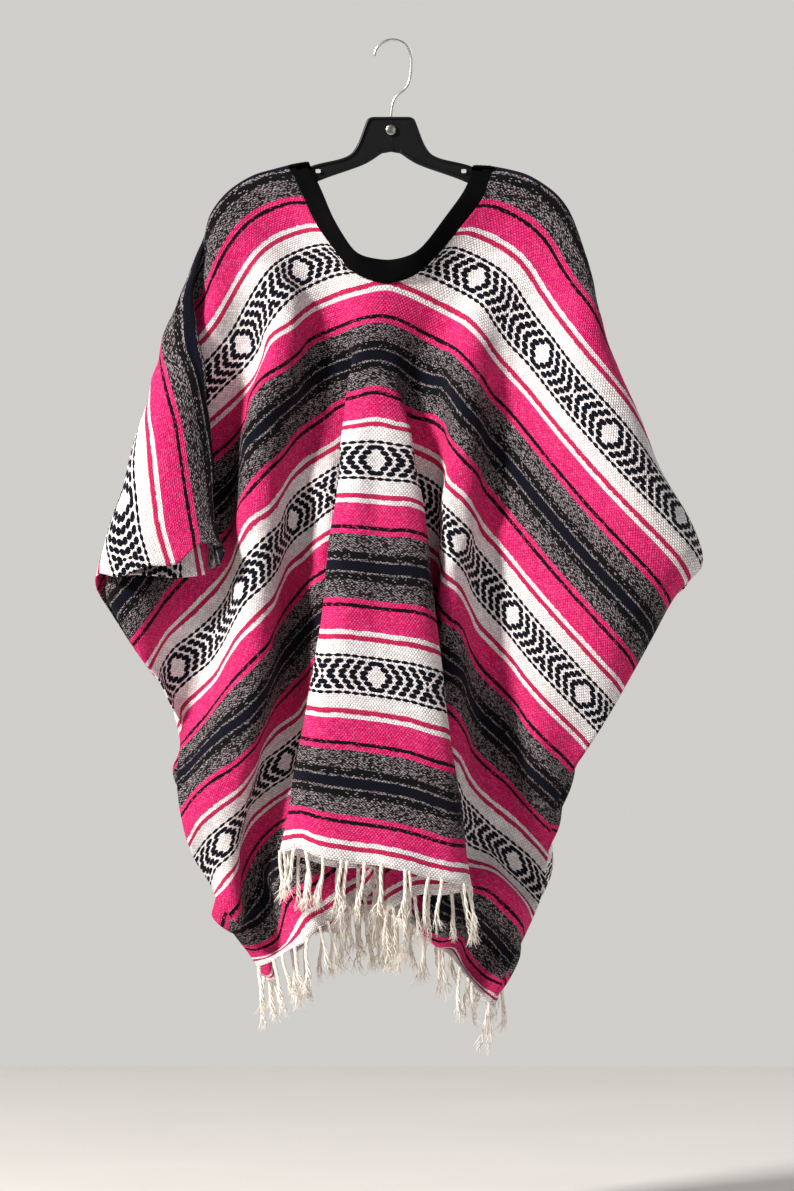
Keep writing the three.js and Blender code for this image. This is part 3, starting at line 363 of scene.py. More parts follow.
class FrameCloth:
    """Reads where the frame's cloth hangs, point by point of its flat rows and columns."""

    MERGE = 1e-5  # points of the frame closer than this are one
    CORNER_TRIES = 24  # the lowest points of a panel, one of which is its corner
    CORNER_LEAN = 0.4  # how much further to the right counts as lower
    STRETCH, SLACK = 1.35, 0.004  # the most that an edge can be longer than in the flat cloth
    FEW_CLASHES, CLASH_SHARE = 60, 1 / 8  # a match with more misfits than these is given up
    FILL_ROUNDS = 80

    def __init__(self, cut: FlatCut) -> None:
        """Match both panels of the frame to the rows and columns of the cut.

        Args:
            cut: the flat cut.
        """
        self.cut = cut
        self.middle = len(cut.across_stops) - 1
        self.rows = cut.rows()
        self.ids: list[list[int]] = []
        self.flat: list[Pair] = []
        self.triangles: dict[str, list[Face]] = {"front": [], "back": []}
        self._number_points()
        total = np.zeros((len(self.flat), 3))
        count = np.zeros(len(self.flat))
        for panel in self.triangles:
            for index, place in self._match(panel).items():
                total[index] += place
                count[index] += 1
        self.found = count > 0
        self.points = total / np.maximum(count, 1)[:, None]
        LOG.info("cloth points read from the frame: %d of %d", int(self.found.sum()), len(self.flat))
        self._fill_missing()

    def _number_points(self) -> None:
        """Number the flat points and list the triangles of each panel."""
        stops = self.cut.across_stops
        for along in self.rows:
            line: list[int] = []
            for column in range(2 * len(stops)):
                right = column > self.middle
                if column == self.middle + 1 and self.cut.neck_edge(along) == 0:
                    line.append(line[self.middle])
                    continue
                stop = stops[column - self.middle - 1 if right else self.middle - column]
                across = self.cut.across(along, stop)
                line.append(len(self.flat))
                self.flat.append((across if right else -across, along))
            self.ids.append(line)
        for j in range(len(self.rows) - 1):
            panel = "front" if self.rows[j] > 0 else "back"
            for i in range(2 * len(stops) - 1):
                if i == self.middle:
                    continue
                a, b = self.ids[j][i : i + 2]
                c, d = self.ids[j + 1][i : i + 2]
                lean = (self.flat[a][0] + self.flat[b][0] > 0) == (self.rows[j] + self.rows[j + 1] > 0)
                pair = [(a, b, c), (b, d, c)] if lean else [(a, d, c), (a, b, d)]
                self.triangles[panel] += [face for face in pair if len(set(face)) == 3]

    def _match(self, panel: str) -> dict[int, Points]:
        """Find each flat point of a panel on the frame's closed wall.

        Args:
            panel: front or back.

        Returns:
            Middle of the wall, in metres, for each flat point that was found.
        """
        faces = self.triangles[panel]
        inner = len(self.flat)
        edges = {(f[k], f[(k + 1) % 3]) for f in faces for k in range(3)}
        wall = faces + [(a + inner, c + inner, b + inner) for a, b, c in faces]
        for a, b in edges:
            if (b, a) not in edges:
                wall += [(b, a, a + inner), (b, a + inner, b + inner)]
        ahead = {(f[k], f[(k + 1) % 3]): f[(k + 2) % 3] for f in wall for k in range(3)}
        points, real = self._merged(f"{panel}_panel")
        step, start = (self.ids[0] if panel == "front" else self.ids[-1])[-2:]
        score = points[:, 2] - self.CORNER_LEAN * points[:, 0]
        corners = set(sorted(range(len(points)), key=lambda n: score[n])[: self.CORNER_TRIES])
        whole = 2 * len({v for f in faces for v in f})
        best: dict[int, int] = {}
        for a, b in real:
            if a not in corners:
                continue
            for edge in ((start, step), (step, start)):
                if edge in ahead:
                    found = self._flood(ahead, real, points, dict(zip(edge, (a, b))))
                    best = max(best, found, key=len)
            if len(best) >= whole:
                break
        both = [v for v in best if v < inner and v + inner in best]
        return {v: (points[best[v]] + points[best[v + inner]]) / 2 for v in both}

    def _merged(self, node: str) -> tuple[Points, dict[tuple[int, int], int]]:
        """Merge a node's loose triangles.

        Args:
            node: name of the frame's node.

        Returns:
            Its points, and for each directed edge the corner opposite to it.
        """
        mesh = frame["nodes"][node].data
        mesh.calc_loop_triangles()
        raw = np.array([v.co for v in mesh.vertices])
        keys = np.round(raw / self.MERGE)
        _, first, back = np.unique(keys, axis=0, return_index=True, return_inverse=True)
        back = back.ravel()
        real: dict[tuple[int, int], int] = {}
        for face in mesh.loop_triangles:
            corners = [int(back[v]) for v in face.vertices]
            for k in range(3):
                real[(corners[k], corners[(k + 1) % 3])] = corners[(k + 2) % 3]
        return raw[first], real

    def _flood(
        self,
        ahead: dict[tuple[int, int], int],
        real: dict[tuple[int, int], int],
        points: Points,
        start: dict[int, int],
    ) -> dict[int, int]:
        """Carry a match of one edge over the whole wall, triangle by triangle.

        Args:
            ahead: opposite corner of each directed edge of the expected wall.
            real: the same for the frame's wall.
            points: points of the frame's wall.
            start: the frame point of both ends of the first edge.

        Returns:
            Frame point of each expected point that was reached.
        """
        found = dict(start)
        taken = set(start.values())
        queue, inner, clashes = [tuple(start)], len(self.flat), 0
        seen = set(queue)
        for a, b in queue:
            c = ahead[(a, b)]
            d = real.get((found[a], found[b]))
            if d is None:
                clashes += 1
                if clashes > self.FEW_CLASHES and clashes > len(found) * self.CLASH_SHARE:
                    break
                continue
            if c not in found:
                flat_length = math.dist(self.flat[a % inner], self.flat[c % inner]) * MM
                length = float(np.linalg.norm(points[found[a]] - points[d]))
                if d in taken or length > self.STRETCH * flat_length + self.SLACK:
                    clashes += 1
                    continue
                found[c] = d
                taken.add(d)
            elif found[c] != d:
                clashes += 1
                continue
            for edge in ((c, b), (a, c)):
                if edge not in seen and edge in ahead:
                    seen.add(edge)
                    queue.append(edge)
        return found

    def _fill_missing(self) -> None:
        """Place the few points that were not found between their neighbours."""
        near: dict[int, set[int]] = {}
        for face in self.triangles["front"] + self.triangles["back"]:
            for corner in face:
                near.setdefault(corner, set()).update(face)
        missing = np.flatnonzero(~self.found)
        for _ in range(self.FILL_ROUNDS):
            for v in missing:
                others = [n for n in near[v] if n != v and (self.found[n] or self.points[n].any())]
                if others:
                    self.points[v] = self.points[others].mean(axis=0)

    def half(self, side: int) -> Points:
        """One side of the cloth as a grid.

        Args:
            side: -1 for the left half, 1 for the right half.

        Returns:
            Rows and columns, from the middle outwards, of places and flat addresses: five numbers for each.
        """
        count = len(self.cut.across_stops)
        columns = [self.middle + 1 + k if side > 0 else self.middle - k for k in range(count)]
        ids = np.array(self.ids)[:, columns]
        return np.concatenate([self.points[ids], np.array(self.flat)[ids]], axis=2)


class FineCloth:
    """The cloth between the frame's points: a smooth shell with its flat address as UVs."""

    STEPS = 5  # fine steps between two of the frame's points
    WALL = 1.8 * MM
    EASED_COLUMNS = 14  # fine columns on each side that are eased below the neck opening
    EASED_LENGTH = 110.0
    EASE_PASSES = 60

    def __init__(self, coarse: FrameCloth) -> None:
        """Interpolate both halves of the cloth.

        Args:
            coarse: the cloth as the frame holds it.
        """
        self.neck_depth = coarse.cut.neck_depth
        self.places: list[Points] = []
        self.address: list[Points] = []
        whole = np.abs(coarse.rows)[:, None] >= self.neck_depth
        for side in (-1, 1):
            own, other = coarse.half(side), coarse.half(-side)
            ghosts = np.where(whole, other[:, 1], 2 * own[:, 0] - own[:, 1])
            fine = self._refine(np.concatenate([ghosts[:, None], own], axis=1), axis=1, lead=1)
            fine = self._refine(fine, axis=0, lead=0)
            self.places.append(fine[..., :3])
            self.address.append(fine[..., 3:])
        self._ease_middle()

    def _refine(self, grid: Points, axis: int, lead: int) -> Points:
        """Put STEPS fine points for each coarse one along an axis, on a smooth curve.

        Args:
            grid: coarse points.
            axis: axis to refine.
            lead: number of leading points that only steer the curve.

        Returns:
            The refined grid without its leading points.
        """
        points = np.moveaxis(grid, axis, 0)
        first = points[:1] if lead else 2 * points[:1] - points[1:2]
        body = points[lead:]
        padded = np.concatenate([first, body, 2 * body[-1:] - body[-2:-1]])
        fours = [padded[n : n + 4] for n in range(len(padded) - 3)]
        fine = [between(four, k / self.STEPS) for four in fours for k in range(self.STEPS)]
        return np.moveaxis(np.array([*fine, body[-1]]), 0, axis)

    def _ease_middle(self) -> None:
        """Ease the pinch where the two halves meet below the neck opening."""
        left, right = self.places
        reach = self.EASED_COLUMNS
        for sign in (-1, 1):
            below = sign * self.address[0][:, 0, 1] - self.neck_depth
            rows = np.flatnonzero((below >= -0.5) & (below < self.EASED_LENGTH))
            block = np.concatenate([left[rows, reach:0:-1], right[rows, : reach + 1]], axis=1)
            for _ in range(self.EASE_PASSES):
                inner = block[1:-1, 1:-1]
                around = block[:-2, 1:-1] + block[2:, 1:-1] + block[1:-1, :-2] + block[1:-1, 2:]
                inner += 0.5 * (around / 4 - inner)
            left[rows, reach:0:-1] = block[:, :reach]
            right[rows, : reach + 1] = block[:, reach:]
            left[rows, 0] = right[rows, 0]

    def build(self, name: str) -> Object:
        """Build the shell.

        Args:
            name: the piece's name.

        Returns:
            The cloth, with a UV map that holds across and along in metres.
        """
        rows, columns = self.places[0].shape[:2]
        points: list[Points] = []
        address: list[Points] = []
        number = np.zeros((2, rows, columns), int)
        for half, j, i in np.ndindex(number.shape):
            if half == 1 and i == 0 and abs(self.address[1][j, 0, 1]) >= self.neck_depth - 0.01:
                number[1, j, 0] = number[0, j, 0]
                continue
            number[half, j, i] = len(points)
            points.append(self.places[half][j, i])
            address.append(self.address[half][j, i])
        faces: list[Face] = []
        for half, j, i in np.ndindex(2, rows - 1, columns - 1):
            (a, b), (d, c) = number[half, j : j + 2, i : i + 2].tolist()
            faces.append((a, b, c, d) if half else (a, d, c, b))
        piece = mesh_piece(name, np.array(points), faces)
        uv = piece.data.uv_layers.new(name="woven")
        flat_uv = np.array(address)[[v for face in faces for v in face]] * MM
        uv.data.foreach_set("uv", flat_uv.astype(np.float32).ravel())
        shell = piece.modifiers.new("wall", "SOLIDIFY")
        shell.thickness = self.WALL
        shell.offset = 0
        return piece


# ---------------- the cloth's weave


class Yarn(Enum):
    """Dyed yarns of the cloth, as sRGB."""

    PINK = "#e4246f"
    BLOOM = "#ea4f88"
    ROSE = "#cc2a5c"
    WHITE = "#faf3f3"
    BLACK = "#0b0a0d"
    NAVY = "#080a1a"
    ASH = "#94898d"
    CHARCOAL = "#1e1b1d"


@dataclass(frozen=True)
class Stripe:
    """A stripe of the repeat, from the last one out to its own edge."""

    edge: float
    yarn: Yarn
    fleck: float = 0.0
    fleck_yarn: Yarn = Yarn.WHITE


@dataclass(frozen=True)
class WovenWool:
    """Blanket cloth of soft spun yarn in a weft-faced plain weave: dry, fuzzy and without gloss.

    The stripes repeat along the length and are mirrored about the middle of the navy one, so a stripe's place
    is its distance from there. The diamonds lie in the middle of the white one. Lengths are millimetres.
    """

    repeat: float = 256.0
    stripes: tuple[Stripe, ...] = (
        Stripe(6.0, Yarn.NAVY),
        Stripe(8.4, Yarn.ASH, 0.42, Yarn.BLACK),
        Stripe(16.8, Yarn.BLACK, 0.05, Yarn.ASH),
        Stripe(38.1, Yarn.CHARCOAL, 0.34, Yarn.ASH),
        Stripe(44.2, Yarn.PINK, 0.24, Yarn.BLOOM),
        Stripe(48.9, Yarn.BLACK, 0.05, Yarn.PINK),
        Stripe(75.9, Yarn.PINK, 0.24, Yarn.BLOOM),
        Stripe(81.5, Yarn.WHITE),
        Stripe(87.1, Yarn.ROSE),
        Stripe(128.0, Yarn.WHITE),
    )
    wander: float = 0.9  # how far the edge of a stripe strays from yarn to yarn
    hem: float = 40.0  # the length before the selvage of the fringe where the stripes run short
    hem_shift: float = 7.4

    motif_repeat: float = 137.5
    motif_start: float = -550.0
    neck_shift: float = 40.0  # the diamonds beside the neck are set out from its edges, not from the middle
    row: float = 6.0
    half_rows: int = 3  # rows of dashes on each side of the diamonds' middle
    ring: float = 13.75
    ring_start: float = 0.15  # share of a ring
    roundness: float = 1.1  # 1 for straight sides and 2 for circles
    height_share: float = 0.97  # height of a ring beside its width
    lean: float = 0.45  # how much of the ring's slope a dash follows within its own row
    eye: float = 0.8  # half width of the plain eye, in rings
    dash: float = 0.56  # half the height of a dash as a share of its row, cut off at the row's own edge
    dash_reach: float = 0.4  # half the width of a dash as a share of its ring
    dash_point: float = 0.6  # 1 for pointed ends and less for blunt ones
    border: float = 21.8  # from the diamonds' middle to the dashed lines
    border_step: float = 11.0
    border_half: float = 2.1
    border_point: float = 7.0

    pick: float = 2.5  # a beaten pair of weft yarns
    warp: float = 4.2  # drawn at twice its real spacing, so that it shows
    crown: Pair = (2.6, 3.4)  # how fast a yarn falls off along the cloth and across it
    tone: tuple[float, float, float] = (0.5, 0.3, 0.46)  # painted shade by relief (darker between the yarns' crowns), random tone by chance, and the share kept in all
    fleck: Pair = (2.4, 0.9)  # a tuft of light fibre in a heather yarn
    fleck_shift: float = 0.382  # how far each row of tufts is set off from the last, in tufts
    fleck_turns: Pair = (1.8, 0.6)  # what makes every other tuft light less often

    def make(self) -> Material:
        """Build the material.

        Returns:
            The woven cloth's material.
        """
        material = empty_material("striped_weft_faced_wool")
        tree = material.node_tree
        uv = add(tree, "ShaderNodeUVMap", {"uv_map": "woven"})
        split = add(tree, "ShaderNodeSeparateXYZ", {0: uv.outputs[0]})
        across, along = (Number(tree, split.outputs[k]) * (1 / MM) for k in (0, 1))
        cell, height, tone = self._weave(across, along)
        place = along + (cell - 0.5) * self.wander
        distance = abs((place + self.repeat / 2) % self.repeat - self.repeat / 2)
        at_hem = abs(along) > FlatCut.half_length - self.hem
        distance = at_hem.times_plus(self.hem_shift, distance)
        stripes = self._stripes(distance, self._tufts(across, along))
        colour = mix(self._motif(across, along), stripes, linear(Yarn.NAVY.value))
        # The weave's factor multiplies the colour: painted shade between the yarns' crowns, and random tone.
        shading = {"data_type": "RGBA", "blend_type": "MULTIPLY", 0: 1.0, 6: colour, 7: tone}
        shade = add(tree, "ShaderNodeMix", shading)
        bump = add(tree, "ShaderNodeBump", {"Strength": 0.85, "Distance": 1.1 * MM, "Height": height})
        wool = {
            "Roughness": 0.9,
            "IOR": 1.46,
            "Specular IOR Level": 0.12,
            "Sheen Weight": 0.03,
            "Sheen Roughness": 0.6,
            "Base Color": shade.outputs[2],
            "Normal": bump.outputs[0],
        }
        surface = add(tree, "ShaderNodeBsdfPrincipled", wool)
        add(tree, "ShaderNodeOutputMaterial", {0: surface.outputs[0]})
        return material

    def _weave(self, across: Number, along: Number) -> tuple[Number, Number, Socket]:
        """Make the grain: one oval for each weft yarn over a warp yarn, offset row by row.

        Args:
            across: flat address in millimetres.
            along: flat address in millimetres.

        Returns:
            A random number for each oval, the relief, and the factor that multiplies the colour: painted
            shade, darker where each yarn falls off between the crowns, with random tone by chance.
        """
        line = along / self.pick
        row = line.floor()
        offset = row % 2.0 * 0.5
        column_line = across / self.warp + offset
        chance = hashed(column_line.floor(), row)
        down = line.fract() - 0.5
        side = column_line.fract() - 0.5
        height = (1.0 - (down * down * self.crown[0] + side * side * self.crown[1])).at_least(0.0)
        painted_groove_shade, by_chance, least = self.tone
        # Painted shade: the colour is darkened where each yarn's oval falls off, between the crowns, on top
        # of the bump's own shading; the part by chance is random tone.
        tone = height * painted_groove_shade + (chance * by_chance + least)
        painted_shade_and_tone = add(tone.tree, "ShaderNodeCombineColor", {0: tone, 1: tone, 2: tone})
        return chance, height, painted_shade_and_tone.outputs[0]

    def _tufts(self, across: Number, along: Number) -> Number:
        """Give each tuft of fibre its own random number, in short runs along the weft.

        Args:
            across: flat address in millimetres.
            along: flat address in millimetres.

        Returns:
            A random number from 0 up, which is higher for every other tuft.
        """
        row = (along / self.fleck[1]).floor()
        shift = row * self.fleck_shift
        column = (across / self.fleck[0] + shift).floor()
        odd = (column + row) % 2.0
        return hashed(column, row) * odd.times_plus(*self.fleck_turns)

    def _bands(self, share: Number, colours: list[Colour]) -> Socket:
        """Give each stripe of the half repeat its colour.

        Args:
            share: distance from the middle of the navy stripe, in half repeats.
            colours: the colour of each stripe.

        Returns:
            The colour's socket.
        """
        node = add(share.tree, "ShaderNodeValToRGB", {0: share})
        node.color_ramp.interpolation = "CONSTANT"
        stops = node.color_ramp.elements
        starts = [0.0] + [stripe.edge / (self.repeat / 2) for stripe in self.stripes[:-1]]
        for index, (start, colour) in enumerate(zip(starts, colours)):
            stop = stops[index] if index < 2 else stops.new(start)
            stop.position = start
            stop.color = colour
        return node.outputs[0]

    def _stripes(self, distance: Number, tuft: Number) -> Socket:
        """Colour the stripes of the repeat.

        Args:
            distance: millimetres from the middle of the navy stripe.
            tuft: random number of each tuft.

        Returns:
            The stripes' colour.
        """
        share = distance / (self.repeat / 2)
        yarns = [s.fleck_yarn if s.fleck else s.yarn for s in self.stripes]
        plain = self._bands(share, [linear(s.yarn.value) for s in self.stripes])
        light = self._bands(share, [linear(yarn.value) for yarn in yarns])
        chance = self._bands(share, [(s.fleck, s.fleck, s.fleck, 1) for s in self.stripes])
        return mix(tuft < Number(share.tree, chance), plain, light)

    def _motif(self, across: Number, along: Number) -> Number:
        """Draw the diamonds: rows of lens-shaped dashes, nested round an eye, between two dashed lines.

        Args:
            across: flat address in millimetres.
            along: flat address in millimetres.

        Returns:
            1 where the dark yarn floats on top and 0 elsewhere.
        """
        height = along % self.repeat - self.repeat / 2
        near_neck = abs(along) < self.repeat
        mirrored = abs(across) + self.neck_shift
        change = near_neck * (mirrored - across)
        start = across + change + (self.motif_repeat / 2 - self.motif_start)
        from_eye = abs(start % self.motif_repeat - self.motif_repeat / 2)
        centre = ((height / self.row).floor() + 0.5) * self.row
        in_row = height - centre
        from_middle = abs(in_row.times_plus(self.lean, centre)) * self.height_share
        reach = from_eye**self.roundness + from_middle**self.roundness
        rings = reach ** (1 / self.roundness) / self.ring
        phase = (rings + self.ring_start).fract() - 0.5
        ratio = phase / self.dash_reach
        lens = (1.0 - ratio * ratio).at_least(0.0) ** self.dash_point
        dashes = abs(in_row) < lens * (self.row * self.dash)
        inside = abs(height) < self.half_rows * self.row
        dashes = dashes * (rings > self.eye) * inside
        step = (across / self.border_step).fract() - 0.5
        bulge = self.border_half - step * step * self.border_point
        return dashes.at_least(abs(abs(height) - self.border) < bulge)


# ---------------- other finishes


@dataclass(frozen=True)
class Finish:
    """A finish between two near colours, with a fine grain and a slow change of tone."""

    name: str
    colour: str
    second: str
    roughness: float
    metallic: float = 0.0
    ior: float = 1.5
    grain_mm: float = 1.0
    stretch: tuple[float, float, float] = (1.0, 1.0, 1.0)
    relief: float = 0.0
    tone_mm: float = 30.0
    sheen: float = 0.0
    spread: Pair = (0.35, 0.65)  # where on the noise the two colours lie
    roughness_spread: float = 0.06

    def make(self) -> Material:
        """Build the material.

        Returns:
            The finish's material.
        """
        material = empty_material(self.name)
        tree = material.node_tree
        place = add(tree, "ShaderNodeTexCoord").outputs["Object"]
        scaled = add(tree, "ShaderNodeMapping", {"Scale": self.stretch, "Vector": place}).outputs[0]
        grain = {"Scale": 1 / (self.grain_mm * MM), "Detail": 3.0, "Vector": scaled}
        change = {"Scale": 1 / (self.tone_mm * MM), "Detail": 2.0, "Vector": place}
        fine, slow = (add(tree, "ShaderNodeTexNoise", noise).outputs["Fac"] for noise in (grain, change))
        both = Number(tree, fine).times_plus(0.5, Number(tree, slow) * 0.5)
        ramp = add(tree, "ShaderNodeValToRGB", {0: both})
        for stop, position, colour in zip(ramp.color_ramp.elements, self.spread, (self.colour, self.second)):
            stop.position = position
            stop.color = linear(colour)
        least = max(self.roughness - self.roughness_spread, 0.02)
        most = min(self.roughness + self.roughness_spread, 1.0)
        rough = add(tree, "ShaderNodeMapRange", {3: least, 4: most, 0: fine})
        bump = add(tree, "ShaderNodeBump", {"Strength": 0.6, "Distance": self.relief * MM, "Height": fine})
        finish = {
            "Metallic": self.metallic,
            "IOR": self.ior,
            "Sheen Weight": self.sheen,
            "Base Color": ramp.outputs[0],
            "Roughness": rough.outputs[0],
            "Normal": bump.outputs[0],
        }
        surface = add(tree, "ShaderNodeBsdfPrincipled", finish)
        add(tree, "ShaderNodeOutputMaterial", {0: surface.outputs[0]})
        return material


# Black cotton rib knit: matt and soft.
RIB_KNIT = Finish("black_cotton_rib", "#020203", "#070608", 0.95, ior=1.18, grain_mm=1.4, relief=0.5)
# Unbleached wool and cotton warp ends: chalky and hairy, a little yellow in their shade.
COTTON_ENDS = Finish(
    "unbleached_warp_yarn", "#e4dacb", "#fbf6ee", 0.95, grain_mm=1.2, relief=0.5, tone_mm=12, sheen=0.2
)
# Injection-moulded polystyrene: black, with a fine spark-eroded grain that blurs its gloss.
MOULDED_PLASTIC = Finish(
    "moulded_black_polystyrene", "#040405", "#080809", 0.44, ior=1.38, grain_mm=0.6, relief=0.03, tone_mm=60
)
# Drawn and polished mild steel wire: bright, drawn out along its length.
POLISHED_STEEL = Finish(
    "polished_steel_wire", "#c6c5c2", "#e6e5e2", 0.3, metallic=0.9, grain_mm=3, stretch=(1, 1, 0.15)
)
# Pressed steel rivet: duller, with faint marks from handling.
PRESSED_STEEL = Finish(
    "pressed_steel", "#8f8c86", "#c4c1ba", 0.34, metallic=1.0, grain_mm=1.6, relief=0.06, tone_mm=5
)
# Zinc-plated clips: pale and milky, so that they show against the black arms.
PLATED_CLIP = Finish(
    "zinc_plated_clip", "#c9c6c0", "#e2dfda", 0.42, metallic=0.35, grain_mm=1.6, relief=0.04, tone_mm=5
)
# Plain paint of the studio's floor.
PALE_PAINT = Finish("pale_floor_paint", "#dedcd8", "#e4e2de", 0.8, grain_mm=4, relief=0.02, tone_mm=300)


# ---------------- the hanger


@dataclass
class Hanger:
    """The moulded coat hanger with its hook, rivet and clips, in millimetres."""

    thickness: float = 10.0
    edge_round: float = 2.4
    hub_round: float = 7.0
    seat: float = 10.0  # from the line where the cloth lies down to the crest of the arm
    arm_depth: float = 22.0
    arm_end: tuple[Pair, ...] = ((-3, -9), (-12, -9))  # lower corners, from the crest's end
    arch_z: float = -134.0
    shoulder: tuple[Pair, ...] = ((122, -151), (156, -159), (191, -177), (212, -201), (223, -225))
    hub: tuple[Pair, ...] = ((27, -92), (30, -98), (42, -128), (56, -141), (92, -150))
    arch: tuple[Pair, ...] = ((79, -166), (34, -150), (11, -136))
    seam: float = 0.3  # radius of the mould line's bead
    rim: float = 0.75  # half the size of the raised lower rim
    rim_rise: float = 3.1
    wire: float = 3.3
    bend: float = 22.3
    bend_offset: float = 2.0
    tip_angle: float = 172.0
    leave_angle: float = 0.0
    sweep: float = 60.0
    shank: float = 50.0
    tip_rings: tuple[Pair, ...] = ((0.02, 1.3), (0.5, 0.9), (0.85, 0.45))  # share of the width, reach
    rivet_z: float = -108.0
    rivet_radius: float = 6.5
    rivet_height: float = 2.3
    rivet_edge: float = 0.5
    rivet_lift: float = 0.3  # from the hub's front to the head's back
    clearance: float = 0.7  # between an arm and what passes over it
    past_end: float = 6.0  # how much further out the arm counts as lying
    under_arm: float = 12.0  # how far the arm counts as deeper

    def crest(self) -> Points:
        """Crest of an arm: the shoulder line moved square to itself, under the cloth."""
        line = np.array(self.shoulder, float)
        return line + sideways(unit(np.gradient(line, axis=0))) * self.seat

    def top_line(self) -> Points:
        """Top of the hanger from the hub to the arm's end."""
        return np.vstack([self.hub, self.crest()])

    @staticmethod
    def spline(points: Points, count: int) -> Points:
        """Smooth curve through points.

        Args:
            points: points to pass through.
            count: number of steps.

        Returns:
            The curve's points.
        """
        padded = np.vstack([2 * points[0] - points[1], points, 2 * points[-1] - points[-2]])
        last = len(points) - 1
        places = [min(step / count * last, last - 1e-9) for step in range(count + 1)]
        return np.array([between(padded[int(place) : int(place) + 4], place % 1) for place in places])

    def under_line(self) -> Points:
        """Lower edge of the hanger from an arm's end to the middle of the arch."""
        return self.spline(np.vstack([self.crest()[-2::-1] - [0, self.arm_depth], self.arch]), 36)

    def outline(self) -> Points:
        """Closed outline of the body, seen from the front."""
        top = self.top_line()
        share = np.linspace(0, 1, 7)[:-1, None]
        flat_end, bend = top[0] - [self.hub_round, 0], top[0] + [1, 0]
        corner = (1 - share) ** 2 * flat_end + 2 * (1 - share) * share * bend + share**2 * top[1]
        right = np.vstack([corner, self.spline(top[1:], 42), top[-1] + self.arm_end, self.under_line()])
        return np.vstack([right, [[0, self.arch_z]], right[::-1] * [-1, 1]])

    def body(self) -> Object:
        """Build the moulded body, with round strips along both sides of its rim.

        Known fault: the rings run the wrong way on each side, so the strips stand as lips round two flat
        faces that lie too deep, and the rim between the strips is set in. The right order is [::face].

        Returns:
            The body.
        """
        outline = self.outline()
        inward = sideways(unit(np.roll(outline, -1, axis=0) - np.roll(outline, 1, axis=0)))
        inward[outline[:, 0] == 0] = 0
        half, edge = self.thickness / 2, self.edge_round
        turns = np.radians(np.linspace(0, 90, 6))
        rings: list[Points] = []
        for face in (-1, 1):
            for turn in turns[::-face]:
                inset = outline + inward * edge * (1 - math.cos(turn))
                depth = face * (half - edge + edge * math.sin(turn))
                rings.append(np.insert(inset, 1, depth, axis=1))
        lofts = Lofts()
        lofts.faces += lofts.join(rings)
        piece = lofts.piece("hanger_moulding")
        face_out(piece, split=True)
        for polygon in piece.data.polygons:
            polygon.use_smooth = abs(polygon.normal.y) < 0.995
        return piece

    def mould_marks(self) -> Object:
        """Build the fine mould line of the hub and the raised lower rim of the arms, in front.

        Returns:
            The marks.
        """
        front = -self.thickness / 2
        bead = [(self.seam * math.cos(a), self.seam * math.sin(a), 0) for a in (0, 1.57, 3.14, 4.71)]
        corners = ((1, 0), (0.7, 0.7), (0, 1), (-0.7, 0.7), (-1, 0), (0, -1))
        lip = [(0, -self.rim * y, self.rim * x) for x, y in corners]
        line = [(0, front - 0.1, z) for z in np.linspace(self.hub[0][1] - 2, self.arch_z + 2, 8)]
        rim = np.insert(self.under_line() + [0, self.rim_rise], 1, front + 0.15, axis=1)
        lofts = Lofts()
        for path, section in ((np.array(line), bead), (rim, lip), (rim * [-1, 1, 1], lip)):
            lofts.faces += lofts.join(path[:, None] + section)
        piece = lofts.piece("hanger_mould_marks")
        face_out(piece)
        return piece

    def hook_path(self) -> Points:
        """Middle line of the hook's wire, from its tip to the hub."""
        centre = np.array([self.bend_offset, self.wire / 2 - self.bend])
        angles = np.radians(np.linspace(self.tip_angle, self.leave_angle, 57))
        round_part = centre + np.stack([np.cos(angles), np.sin(angles)], axis=1) * self.bend
        leave, foot = round_part[-1], np.array([0.0, self.hub[0][1] - 3.0])
        p1, p2 = leave + unit(leave - round_part[-2]) * self.sweep, foot + [0, self.shank]
        t = np.linspace(0, 1, 40)[1:, None]
        sweep = (1 - t) ** 3 * leave + 3 * (1 - t) ** 2 * t * p1 + 3 * (1 - t) * t**2 * p2 + t**3 * foot
        return np.vstack([round_part, sweep])

    def hook(self) -> Object:
        """Build the wire hook with a rounded tip.

        Returns:
            The hook.
        """
        path = np.insert(self.hook_path(), 1, 0, axis=1)
        run = unit(np.gradient(path, axis=0))
        rings = [(path[0] - run[0] * back, run[0], share) for share, back in self.tip_rings]
        rings += [(place, direction, 1.0) for place, direction in zip(path, run)]
        lofts = Lofts()
        first, last = lofts.join(
            [circle(place, np.cross(d, Y), Y, share * self.wire / 2, 18) for place, d, share in rings]
        )
        lofts.faces += [first[::-1], last]
        piece = lofts.piece("hook_wire")
        face_out(piece)
        return piece

    def rivet(self) -> Object:
        """Build the domed rivet head.

        Returns:
            The rivet.
        """
        edge, dome = self.rivet_edge, self.rivet_height - self.rivet_edge
        turns = np.radians([12, 25, 40, 55, 70, 82])
        profile = [(1.0, 0.0), (1.0, edge)] + [(math.cos(a), edge + dome * math.sin(a)) for a in turns]
        foot, sides = self.rivet_z * Z - (self.thickness / 2 + self.rivet_lift) * Y, 40
        lofts = Lofts()
        back, rim = lofts.join([circle(foot - h * Y, X, Z, self.rivet_radius * r, sides) for r, h in profile])
        lofts.points.append(foot - self.rivet_height * Y)
        lofts.faces += [(a, b, len(lofts.points) - 1) for a, b in zip(rim, rim[1:] + rim[:1])]
        lofts.faces.append(back)
        piece = lofts.piece("hub_rivet_head")
        face_out(piece)
        return piece

